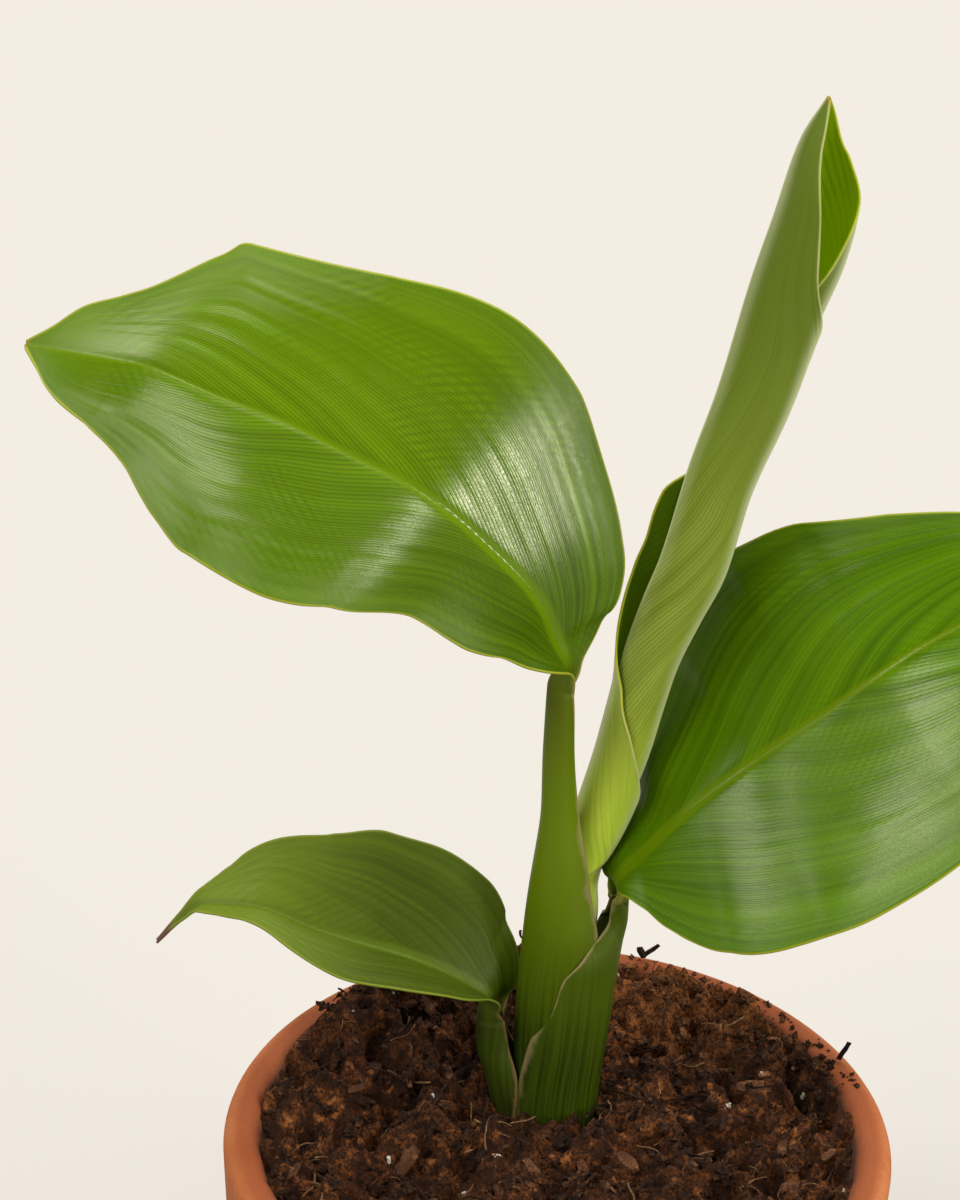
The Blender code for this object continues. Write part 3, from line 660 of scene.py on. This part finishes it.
# what all sides share; a span is the values from which and to which a mask runs, and what it runs between
skinForm = {
    "paleSpan": (0.45, 0.75, 0, 0.5), "paintedMinusShadeFrom": (3, -6), "ribWidth": (0, 110, 2.2, 0.5),
    "ribSpan": (0.4, 1, 0.75, 0), "marginSpan": (0.1, 0.5, 0.8, 0), "streaks": (1.6, 0.03, 0, 2),
    "streakSpan": (0.35, 0.7, 0, 0.3), "dryGrain": 240, "dryWidth": (0.25, 0.7, 0.6, 1.9),
    "dryTaper": (-40, -20, 1, 0.4), "drySpan": (0.3, 1.3, 0.75, 0), "dryShow": (0.1, 1), "tipFade": 3,
    "paintedSheenFrom": (0.3, 0.88), "paintedSheenColour": (0.66, 0.7, 0.4), "polish": (-0.05, 0.07), "edgeDull": 0.11,
    "blotchDull": (0.52, 0.7, 0, 0.14), "relief": {"Lines": -0.12, "Cross": -0.05, "Grain": 0.11},
    "reliefHeight": 0.06,
}


def stalkColour(skin, place, fromTop, reach, edge, fromFoot):
    # from the dark foot to the paler top, with the sheath's dry edge
    form = skinForm
    streaks = streakOf(reach, fromFoot, form["streaks"])
    grain = rangeOf(noiseOf(place, form["dryGrain"]), *form["dryWidth"])
    width = timesOf(grain, rangeOf(fromTop, *form["dryTaper"]))
    dry = rangeOf(mathOf("DIVIDE", edge, width), *form["drySpan"])
    dry = timesOf(dry, rangeOf(fromTop, *skin["dryFrom"], *form["dryShow"]))
    low, high, top = skin["stalk"]
    return layersOf(
        low, (rangeOf(fromTop, *skin["stalkFrom"]), high), (rangeOf(fromTop, *skin["topFrom"]), top),
        (rangeOf(streaks, *form["streakSpan"]), skin["dark"]), (dry, skin["sheath"]))


def bladeColour(skin, veins, fromTop, reach, edge):
    # stripes, the paler far part, painted shade on the minus side, fine lines, the midrib and the margin
    form = skinForm
    ribWidth = rangeOf(fromTop, *form["ribWidth"])
    fromRib = mathOf("DIVIDE", mathOf("ABSOLUTE", reach), ribWidth)
    return layersOf(
        skin["dark"], (veins["Stripes"], skin["light"]),
        (rangeOf(veins["Blotches"], *form["paleSpan"]), skin["pale"]),
        (rangeOf(fromTop, *skin["farFrom"], 0, skin["farShow"]), skin["far"]),
        (rangeOf(reach, *form["paintedMinusShadeFrom"], 0, skin["paintedMinusShade"]), skin["line"]),
        (timesOf(veins["Lines"], skin["lineShow"]), skin["line"]),
        (timesOf(veins["Cross"], skin["crossShow"]), skin["line"]),
        (rangeOf(fromRib, *form["ribSpan"]), skin["midrib"]),
        (rangeOf(edge, *form["marginSpan"]), skin["margin"]))


def leafMaterial(name, skin, tipFrom):
    form = skinForm
    made, shader = newMaterial(
        name, skin["roughness"], Specular_IOR_Level=skin["specular"], Specular_Tint=skin["shine"])
    fromTop, reach, edge, vein, run, fromFoot = (
        nodeOf("Attribute", (), "Fac", attribute_name=label) for label in leafAttributes)
    place = objectPlace()
    given = {"Vein": vein, "Run": run, "Place": place, "Spacing": skin["spacing"]}
    veins = nodeOf("Group", given, None, node_tree=leafVeins)
    stalk = stalkColour(skin, place, fromTop, reach, edge, fromFoot)
    blade = bladeColour(skin, veins, fromTop, reach, edge)
    colour = layersOf(
        stalk, (rangeOf(fromTop, *skin["bladeFrom"]), blade),
        (rangeOf(fromTop, tipFrom, tipFrom + form["tipFade"]), skin["tip"]))
    if skin["paintedSheen"]:
        # painted sheen: a pale colour where the surface turns away from the view, standing in for the sheen
        # of a waxy bloom
        facing = nodeOf("LayerWeight", (), "Facing")
        paintedSheen = rangeOf(facing, *form["paintedSheenFrom"], 0, skin["paintedSheen"])
        colour = mixOf(paintedSheen, colour, form["paintedSheenColour"])
    feed(shader.inputs["Base Color"], colour)
    # painted light: the colour also glows, standing in for light that passes through the young leaf
    if skin["paintedGlow"]:
        feed(shader.inputs["Emission Color"], colour)
        shader.inputs["Emission Strength"].default_value = skin["paintedGlow"]
    low, high = (skin["roughness"] + change for change in form["polish"])
    rough = rangeOf(veins["Grain"], 0.3, 0.7, low, high)
    dull = plusOf(rangeOf(edge, 1, skin["dullEdge"], form["edgeDull"], 0),
                  rangeOf(veins["Blotches"], *form["blotchDull"]))
    feed(shader.inputs["Roughness"], plusOf(rough, dull))
    relief = 0
    for label, depth in form["relief"].items():
        relief = plusOf(relief, timesOf(veins[label], depth))
    addBump(shader, relief, form["reliefHeight"] * mm)
    return made


for leaf, label, face, back in (
        (upperLeftLeaf, "upperLeft", greenFace, greenBack), (rightLeaf, "right", deepFace, deepBack),
        (rolledLeaf, "rolled", newFace, newBack), (lowerLeftLeaf, "lowerLeft", oldFace, oldBack)):
    tipFrom = leafPlaces(leaf)[3] - leaf["tipLength"]
    buildLeaf(leaf, leafMaterial(label + "Face", face, tipFrom), leafMaterial(label + "Back", back, tipFrom))
    print(leaf["name"], "is built")


# Terracotta pot

potForm = {
    "height": 115, "rimRadius": 65, "rimBand": 24, "rimStep": 5, "rimTaper": 0.5, "taperHeight": 17,
    "lipRounding": 3, "bandRounding": 2, "footRadius": 42, "footRounding": 1.5, "wall": 6.5, "floor": 8,
    "floorRounding": 3, "drainRadius": 7, "drainBevel": 0.8, "sides": 128, "smoothTo": 50,
    "clay": (0.39, 0.104, 0.023), "clayPale": (0.49, 0.162, 0.048), "clayDark": (0.24, 0.048, 0.007),
    "stainAndShade": (0.085, 0.03, 0.014), "unevenness": 0.25, "evenBelow": 10, "grain": 1400, "relief": 0.12,
    # how far outside the inner wall, and how high, the soil's stain on the lip runs, which is also painted
    # shade; and the painted shade on the lip's inner edge and down the inner wall
    "stainAndShadeSpan": (3, 1), "paintedInnerShadeSpan": (6, 3), "paintedInnerShadeShow": 0.75, "stainAndShadeHeight": (115.2, 112),
}


def potInside(height):
    foot = potForm["floor"] + potForm["floorRounding"]
    low = potForm["footRadius"] - potForm["wall"]
    return low + (potForm["rimRadius"] - potForm["wall"] - low) * (height - foot) / (potForm["height"] - foot)


def arcPoints(centre, radius, start, end, steps):
    angles = [radians(start + (end - start) * step / steps) for step in range(steps + 1)]
    return [(centre[0] + radius * cos(a), centre[1] + radius * sin(a)) for a in angles]


def potProfile():
    # down the outer side from the top of the lip, and up the inner side
    form = potForm
    lip, band, foot, low = (form[part + "Rounding"] for part in ("lip", "band", "foot", "floor"))
    rim, footReach, floor = form["rimRadius"], form["footRadius"], form["floor"]
    drain, bevel, taper = form["drainRadius"], form["drainBevel"], form["rimTaper"]
    bandFoot = form["height"] - form["rimBand"]
    lipHeight = form["height"] - lip
    profile = arcPoints((rim - lip, lipHeight), lip, 90, 0, 7)
    profile += [(rim - taper * part / 4, lipHeight - form["taperHeight"] * part / 4) for part in (1, 2, 3)]
    profile += arcPoints((rim - taper - band, bandFoot + band), band, 0, -90, 5)
    shoulder = rim - form["rimStep"]
    profile += [(shoulder + 0.6, bandFoot + 0.1), (shoulder + 0.1, bandFoot - 0.5)]
    reach = footReach - shoulder
    tenths = [part / 10 for part in range(1, 10)]
    profile += [(shoulder + reach * part, bandFoot - (bandFoot - 2) * part) for part in tenths]
    profile += arcPoints((footReach - foot, foot), foot, 0, -90, 4)
    profile += [(drain + bevel, 0), (drain, bevel), (drain, floor - bevel), (drain + bevel, floor)]
    profile += arcPoints((footReach - form["wall"] - low, floor + low), low, -90, 0, 4)
    start = floor + low
    heights = [start + (lipHeight - start) * part for part in tenths]
    profile += [(potInside(height), height) for height in heights]
    profile += arcPoints((potInside(lipHeight) + lip, lipHeight), lip, 180, 90, 7)
    return profile + profile[:1]


def clayMaterial():
    form = potForm
    made, shader = newMaterial("terracottaClay", 0.82)
    place = objectPlace()
    marks = nodeOf("Group", {"Place": place, "Size": form["grain"]}, None, node_tree=speckle)
    x, y, height = nodeOf("SeparateXYZ", (place,), None)
    flat = mathOf("SQRT", plusOf(mathOf("POWER", x, 2), mathOf("POWER", y, 2)))
    # how far a point lies outside the inner wall
    wallAt = mathOf("MULTIPLY_ADD", height, (potInside(100) - potInside(0)) / 100, potInside(0) * mm)
    outside = mathOf("SUBTRACT", flat, wallAt)
    # painted shade over the lip's inner edge and the inner wall, and a soil stain at the top of the inner
    # wall that is also painted shade
    inner, paintedInnerShade = lengthOf(outside, form["stainAndShadeSpan"]), lengthOf(outside, form["paintedInnerShadeSpan"])
    high = lengthOf(height, form["stainAndShadeHeight"])
    ragged = rangeOf(noiseOf(place, 160, 4, 0.6), 0.3, 0.6)
    stainedAndShaded = timesOf(timesOf(inner, high), plusOf(ragged, 0.35), clamp=True)
    colour = layersOf(
        form["clay"], (rangeOf(marks["Blotches"], 0.3, 0.7), form["clayPale"]),
        (rangeOf(marks["Fine"], 0.45, 0.75, 0, 0.35), form["clayDark"]),
        (timesOf(marks["Spots"], 0.25), form["clayPale"]),
        (timesOf(paintedInnerShade, form["paintedInnerShadeShow"]), form["clayDark"]), (stainedAndShaded, form["stainAndShade"]))
    feed(shader.inputs["Base Color"], colour)
    relief = plusOf(timesOf(marks["Fine"], 0.7), timesOf(marks["Spots"], -0.5))
    addBump(shader, relief, form["relief"] * mm)
    return made


def buildPot():
    form = potForm
    profile = potProfile()
    bpy.ops.mesh.primitive_plane_add(size=2 * mm, location=(0, 0, 0))
    piece = bpy.context.active_object
    startEdit()
    bpy.ops.mesh.merge(type="CENTER")
    first = (profile[0][0] * mm, 0, profile[0][1] * mm)
    bpy.ops.transform.translate(value=first)
    for before, after in zip(profile, profile[1:]):
        step = ((after[0] - before[0]) * mm, 0, (after[1] - before[1]) * mm)
        bpy.ops.mesh.extrude_region_move(TRANSFORM_OT_translate={"value": step})
    bpy.ops.mesh.select_all(action="SELECT")
    bpy.ops.mesh.spin(steps=form["sides"], angle=2 * pi, center=(0, 0, 0), axis=(0, 0, 1))
    bpy.ops.mesh.select_all(action="SELECT")
    bpy.ops.mesh.remove_doubles(threshold=0.02 * mm)
    bpy.ops.mesh.normals_make_consistent(inside=False)
    bpy.ops.object.mode_set(mode="OBJECT")
    for point in piece.data.vertices:
        push = noise.noise(point.co * 22) * form["unevenness"] * mm
        flat = hypot(point.co.x, point.co.y)
        keep = min(1.0, point.co.z / (form["evenBelow"] * mm))
        point.co.x += point.co.x / flat * push * keep
        point.co.y += point.co.y / flat * push * keep
    piece.data.materials.append(clayMaterial())
    bpy.ops.object.shade_smooth_by_angle(angle=radians(form["smoothTo"]))
    placePiece(piece, "terracottaPot", ("pot",))


buildPot()
print("pot is built")


# Potting mix: the lumpy surface, and the crumbs, chips, grains and fibres on it

mixForm = {
    "level": 111, "relief": 5, "crumb": 9, "heap": 7.5, "heapAt": (-37, 38), "heapSpread": 20, "heapTop": 119,
    "backRise": 0.04, "wallReach": 58, "edgeFrom": 0.78, "edgeTop": 115, "edgeRise": 4.2, "edgeTilt": 0.3,
    "edgeOver": 2.5, "rightRise": 0.5, "clump": (-2.9, 19), "clumpHalf": (12.5, 11.5), "hollow": 4,
    "hollowFrom": 0.55, "lumpSize": 3.9, "lumpHeight": 2.2, "grainSize": 1.4, "grainHeight": 0.8,
    "pits": ((6.5, 16), (3.4, 8)), "pitFrom": 0.22, "fine": ((1.1, 3), (2.3, 6)), "fineHeight": 0.9,
    # the sides below the surface: height, and how far they pass the pot's inner wall
    "grid": 250, "overlap": 0.6, "skirt": ((104, 0.2), (30, 0)), "capFrom": 0.97,
    # dark, brown and warm
    "colours": ((0.014, 0.004, 0.001), (0.152, 0.047, 0.0095), (0.36, 0.125, 0.032)),
    # the paintedLight spans and dryShow: where and how strongly the painted light on the back right of the
    # mix is laid
    "grain": 1500, "bump": 0.3, "paintedLightBack": (26, 48), "paintedLightRight": (-5, 12), "dryShow": 0.35,
}


def mixHeight(x, y):
    # the solid's lumps, its heap at the back left and its rise to the back
    form = mixForm
    lumps = noise.turbulence(Vector((x / form["crumb"], y / form["crumb"], 0.3)), 3, False)
    heap = exp(-((x - form["heapAt"][0]) ** 2 + (y - form["heapAt"][1]) ** 2) / form["heapSpread"] ** 2)
    height = form["level"] + form["backRise"] * y + form["relief"] * (lumps - 0.5) + form["heap"] * heap
    return min(height, form["heapTop"])


def backRight(x, y):
    return max(0.0, y + 0.6 * x) / mixForm["wallReach"]


def crumbHeight(x, y):
    # the same surface with crumbs on it and a hollow round the stalks
    form = mixForm

    def rough(size, layer):
        return noise.noise(Vector((x / size, y / size, layer)))

    def cells(size, layer):
        return noise.voronoi(Vector((x / size, y / size, layer)))[0]

    height = mixHeight(x, y)
    (clumpX, clumpY), (halfX, halfY) = form["clump"], form["clumpHalf"]
    near = hypot((x - clumpX) / halfX, (y - clumpY) / halfY)
    away = max(0.0, hypot(x, y) / form["wallReach"] - form["edgeFrom"]) / (1 - form["edgeFrom"])
    tilt = 1 - form["edgeTilt"] * x / form["wallReach"] + form["rightRise"] * backRight(x, y)
    height += form["edgeRise"] * away * tilt
    past = max(near - form["hollowFrom"], 0) / form["hollowFrom"]
    height -= form["hollow"] * exp(-(past**2)) * (0.75 + 0.5 * rough(5, 7))
    lump, grain = cells(form["lumpSize"], 1.7), cells(form["grainSize"], 5.1)
    height += form["lumpHeight"] * (lump[1] - lump[0] - 0.3) + form["grainHeight"] * (0.5 - grain[0])
    for size, depth in form["pits"]:
        height -= depth * max(0.0, rough(size, 4.4) - form["pitFrom"])
    height += form["fineHeight"] * sum(rough(size, layer) for size, layer in form["fine"])
    return min(height, form["heapTop"] + 1)


def mixMaterial(name, colours, grain=mixForm["grain"], bump=mixForm["bump"]):
    form = mixForm
    dark, brown, warm = colours
    made, shader = newMaterial(name, 0.92, Specular_IOR_Level=0.25)
    place = objectPlace()
    marks = nodeOf("Group", {"Place": place, "Size": grain}, None, node_tree=speckle)
    x, y, z = nodeOf("SeparateXYZ", (place,), None)
    # painted light: the mix, and the bits that share its material, are made paler at the back right, where
    # light falls on them
    back = lengthOf(y, form["paintedLightBack"])
    right = lengthOf(x, form["paintedLightRight"], 0, form["dryShow"])
    dry = timesOf(timesOf(back, right), rangeOf(marks["Fine"], 0.4, 0.62, 0.25, 1.5))
    colour = layersOf(
        dark, (rangeOf(marks["Fine"], 0.35, 0.68), brown),
        (rangeOf(noiseOf(place, 420, 3, 0.6), 0.56, 0.72, 0, 0.8), warm),
        (rangeOf(marks["Blotches"], 0.4, 0.7, 0, 0.5), dark),
        (rangeOf(noiseOf(place, 210), 0.4, 0.56, 0.78, 0), dark), (dry, warm))
    feed(shader.inputs["Base Color"], colour)
    addBump(shader, marks["Fine"], bump * mm)
    return made


def discPlace(a, b):
    # a square's point moved to a disc, so that the grid ends in a round edge
    if a == 0 and b == 0:
        return 0.0, 0.0
    if abs(a) > abs(b):
        return a * cos(pi / 4 * b / a), a * sin(pi / 4 * b / a)
    return b * sin(pi / 4 * a / b), b * cos(pi / 4 * a / b)


def buildMix():
    form = mixForm
    reach = potInside(form["level"]) + form["overlap"]
    bpy.ops.mesh.primitive_grid_add(x_subdivisions=form["grid"], y_subdivisions=form["grid"], size=2)
    piece = bpy.context.active_object
    startEdit("DESELECT")
    bpy.ops.mesh.select_non_manifold()
    for edge in form["skirt"]:
        bpy.ops.mesh.extrude_region_move(TRANSFORM_OT_translate={"value": (0, 0, -1)})
    bpy.ops.mesh.edge_face_add()
    bpy.ops.object.mode_set(mode="OBJECT")
    for point in piece.data.vertices:
        x, y = discPlace(point.co.x, point.co.y)
        steps = round(-point.co.z)
        if steps:
            height, over = form["skirt"][steps - 1]
            radius = potInside(height) + over
        else:
            radius = reach
            height = crumbHeight(x * reach, y * reach)
            if hypot(x, y) > form["capFrom"]:
                over = form["edgeOver"] * backRight(x * reach, y * reach)
                height = min(height, form["edgeTop"] + 1 + over)
        point.co = (x * radius * mm, y * radius * mm, height * mm)
    piece.data.materials.append(mixMaterial("pottingMix", form["colours"]))
    bpy.ops.object.shade_smooth()
    placePiece(piece, "pottingMix", ("soil",))


buildMix()
print("potting mix is built")


# Loose bits on the mix: each kind is modelled once in a few shapes, and the copies are joined into one piece

bitForm = {
    "seed": 7, "reach": 57.5, "stalkGap": 9.5, "slopeReach": 1.5, "smoothTo": 50,
    "grain": (2200, 0.15),
    # kinds: piece, count, sizes, flatness, lift at least and for its size, tilt, shape, and colours from dark
    "kinds": [
        ("mixCrumbs", 1500, (0.35, 1.7), 0.7, (0, 0.2), 60, "lump",
         ((0.014, 0.005, 0.002), (0.075, 0.03, 0.012), (0.21, 0.085, 0.03))),
        ("barkChips", 70, (0.6, 2.9), 0.9, (0, 0.5), 60, "chip",
         ((0.055, 0.02, 0.008), (0.2, 0.085, 0.035), (0.38, 0.18, 0.075))),
        ("perliteGrains", 26, (0.35, 0.75), 0.85, (0, 0.25), 40, "lump",
         ((0.42, 0.37, 0.3), (0.62, 0.57, 0.5), (0.75, 0.72, 0.66))),
        ("paleFibres", 210, (0.4, 1.5), 1, (0, 0.4), 30, "strand",
         ((0.12, 0.055, 0.022), (0.3, 0.17, 0.075), (0.52, 0.36, 0.19))),
        ("darkFibres", 520, (0.6, 2.1), 1, (0, 0.3), 40, "strand",
         ((0.01, 0.004, 0.002), (0.045, 0.017, 0.008), (0.1, 0.042, 0.018)))],
    # fibres that the photo shows beside the stalks: x, y, size, turn
    "placed": {"paleFibres": [(9.5, 13.5, 1.1, 1.2), (9, 12, 0.9, 2.6)]}, "placedLift": 0.8,
    # the crumbs on the lip, which lie on an arc at the back right
    "lip": ("lipCrumbs", 230, (0.25, 1), 0.6, (0.1, 0), 20, "lump"), "arc": (15, 108), "across": (56.5, 62.5),
    # twigs at the rim: x, y, z, length, thickness, rise and turn in degrees
    "twigs": [
        (18.3, 60, 117.3, 1.5, 0.7, 40, 10), (16.3, 59.6, 117, 0.9, 0.8, 65, 150),
        (57.2, 25.6, 117.6, 1.6, 0.75, 68, 0)],
    "twigDepth": 2.4, "lumps": (0.8, 1.1, 1500), "chip": (1.5, 0.7, 0.26), "chipNarrow": 0.45,
    "chipBroken": 0.35, "chipBent": 0.3, "strandLength": 6.5, "strandRadius": 0.17, "strandSteps": 9,
    "strandTurn": 0.5, "strandBend": 0.22, "strandWander": 0.25, "strandRise": (0.35, 0.7),
    "strandTaper": 0.93,
}
chance = random.Random(bitForm["seed"])


def either(most):
    return chance.uniform(-most, most)


def lumpShape(number):
    least, depth, fineness = bitForm["lumps"]
    bpy.ops.mesh.primitive_ico_sphere_add(subdivisions=2, radius=mm)
    piece = bpy.context.active_object
    for point in piece.data.vertices:
        point.co *= least + depth * noise.noise(point.co * fineness + Vector((number * 5, 0, 0)))
    return piece


def chipShape(number):
    # a flat splinter with broken ends
    form = bitForm
    bpy.ops.mesh.primitive_cube_add(size=2 * mm)
    piece = bpy.context.active_object
    startEdit()
    bpy.ops.mesh.subdivide(number_cuts=2)
    bpy.ops.transform.resize(value=form["chip"])
    bpy.ops.object.mode_set(mode="OBJECT")
    for point in piece.data.vertices:
        ragged = 1 + noise.noise(point.co * 500 + Vector((number, 3, 0)))
        point.co.y *= 1 - form["chipNarrow"] * abs(point.co.x) / (form["chip"][0] * mm) * ragged
        broken = noise.noise(Vector((point.co.y * 2600, number * 3, 1)))
        point.co.x *= 1 + form["chipBroken"] * broken
        bent = noise.noise(Vector((point.co.x * 500, point.co.y * 700, number * 2)))
        point.co.z += form["chipBent"] * mm * bent
    return piece


def strandShape(number):
    # a thin thread that is extruded step by step along a wandering curve
    form = bitForm
    bpy.ops.mesh.primitive_circle_add(
        vertices=5, radius=form["strandRadius"] * mm, fill_type="NGON", rotation=(0, pi / 2, 0))
    piece = bpy.context.active_object
    bpy.ops.object.transform_apply(location=False, rotation=True, scale=False)
    startEdit()
    step = form["strandLength"] / form["strandSteps"] * mm
    turn, bend = either(form["strandTurn"]), either(form["strandBend"])
    high, rate = form["strandRise"]
    at = Vector((0, 0, 0))
    for part in range(form["strandSteps"]):
        turn += bend + either(form["strandWander"])
        move = Vector((cos(turn), sin(turn), high * sin(part * rate + number))) * step
        at += move
        bpy.ops.mesh.extrude_region_move(TRANSFORM_OT_translate={"value": move})
        bpy.ops.transform.resize(value=[form["strandTaper"]] * 3, center_override=at)
    bpy.ops.mesh.select_all(action="SELECT")
    bpy.ops.mesh.normals_make_consistent(inside=False)
    bpy.ops.object.mode_set(mode="OBJECT")
    for point in piece.data.vertices:
        point.co -= at / 2
    return piece


def between(span):
    # a seeded value in the span, more often near its start
    return span[0] + (span[1] - span[0]) * chance.random() ** 2


def mixSpot(radius, turn):
    return radius * cos(turn), radius * sin(turn)


def freeSpot():
    # a seeded place on the mix that is clear of the stalks
    form = bitForm
    while True:
        x, y = mixSpot(form["reach"] * sqrt(chance.random()), chance.uniform(0, 2 * pi))
        if hypot((x - mixForm["clump"][0]) / 1.1, y - mixForm["clump"][1]) > form["stalkGap"]:
            return x, y


def lipSpot():
    return mixSpot(between(bitForm["across"]), radians(chance.uniform(*bitForm["arc"])))


def copyAt(shape, place):
    copy = bpy.data.objects.new("bit", shape.data.copy())
    bpy.context.collection.objects.link(copy)
    copy.data.transform(place)
    return copy


def setBit(shape, x, y, scale, flatness, lift, tilt, yaw=None, level=None):
    # a copy with its own mesh, laid on the surface and turned at random
    near, lean = bitForm["slopeReach"], radians(tilt)
    slopeX = (mixHeight(x + near, y) - mixHeight(x - near, y)) / (2 * near)
    slopeY = (mixHeight(x, y + near) - mixHeight(x, y - near)) / (2 * near)
    turned = (Vector((-slopeX, -slopeY, 1)).to_track_quat("Z", "Y").to_matrix().to_4x4()
              @ Matrix.Rotation(chance.uniform(0, 2 * pi) if yaw is None else yaw, 4, "Z")
              @ Matrix.Rotation(either(lean), 4, "X") @ Matrix.Rotation(either(lean) / 2, 4, "Y"))
    height = (crumbHeight(x, y) if level is None else level) + lift
    place = Matrix.Translation(Vector((x, y, height)) * mm)
    return copyAt(shape, place @ turned @ Matrix.Diagonal((scale, scale, scale * flatness, 1)))


def joinBits(copies, shapes, name, colours, *grain):
    material = mixMaterial(name, colours, *grain)
    bpy.ops.object.select_all(action="DESELECT")
    for shape in shapes:
        bpy.data.objects.remove(shape)
    for copy in copies:
        copy.select_set(True)
    bpy.context.view_layer.objects.active = copies[0]
    bpy.ops.object.join()
    piece = bpy.context.active_object
    piece.data.materials.clear()
    piece.data.materials.append(material)
    bpy.ops.object.shade_smooth_by_angle(angle=radians(bitForm["smoothTo"]))
    placePiece(piece, name)
    print(name, "is built")


def scatterBits(name, count, sizes, flatness, lift, tilt, shape, colours, spotOf=freeSpot, level=None):
    maker = {"lump": lumpShape, "chip": chipShape, "strand": strandShape}[shape]
    shapes = [maker(number) for number in range(6 if shape == "strand" else 3)]
    copies = []
    for number in range(count):
        x, y = spotOf()
        scale = between(sizes)
        lifted = lift[0] + lift[1] * scale
        copies.append(setBit(shapes[number % len(shapes)], x, y, scale, flatness, lifted, tilt, level=level))
    for x, y, scale, yaw in bitForm["placed"].get(name, ()):
        copies.append(setBit(shapes[0], x, y, scale, flatness, bitForm["placedLift"], tilt, yaw))
    joinBits(copies, shapes, name, colours, *bitForm["grain"])


def plantTwigs():
    shape = chipShape(4)
    copies = []
    for x, y, z, length, thick, rise, turn in bitForm["twigs"]:
        leant = Matrix.Rotation(radians(turn), 4, "Z") @ Matrix.Rotation(-radians(rise), 4, "Y")
        sized = Matrix.Diagonal((length, thick, bitForm["twigDepth"] * thick, 1))
        copies.append(copyAt(shape, Matrix.Translation(Vector((x, y, z)) * mm) @ leant @ sized))
    dark, brown = bitForm["kinds"][-1][-1][:2]
    joinBits(copies, [shape], "darkTwigs", (dark, dark, brown))


for kind in bitForm["kinds"]:
    scatterBits(*kind)
scatterBits(*bitForm["lip"], bitForm["kinds"][0][-1], lipSpot, potForm["height"])
plantTwigs()
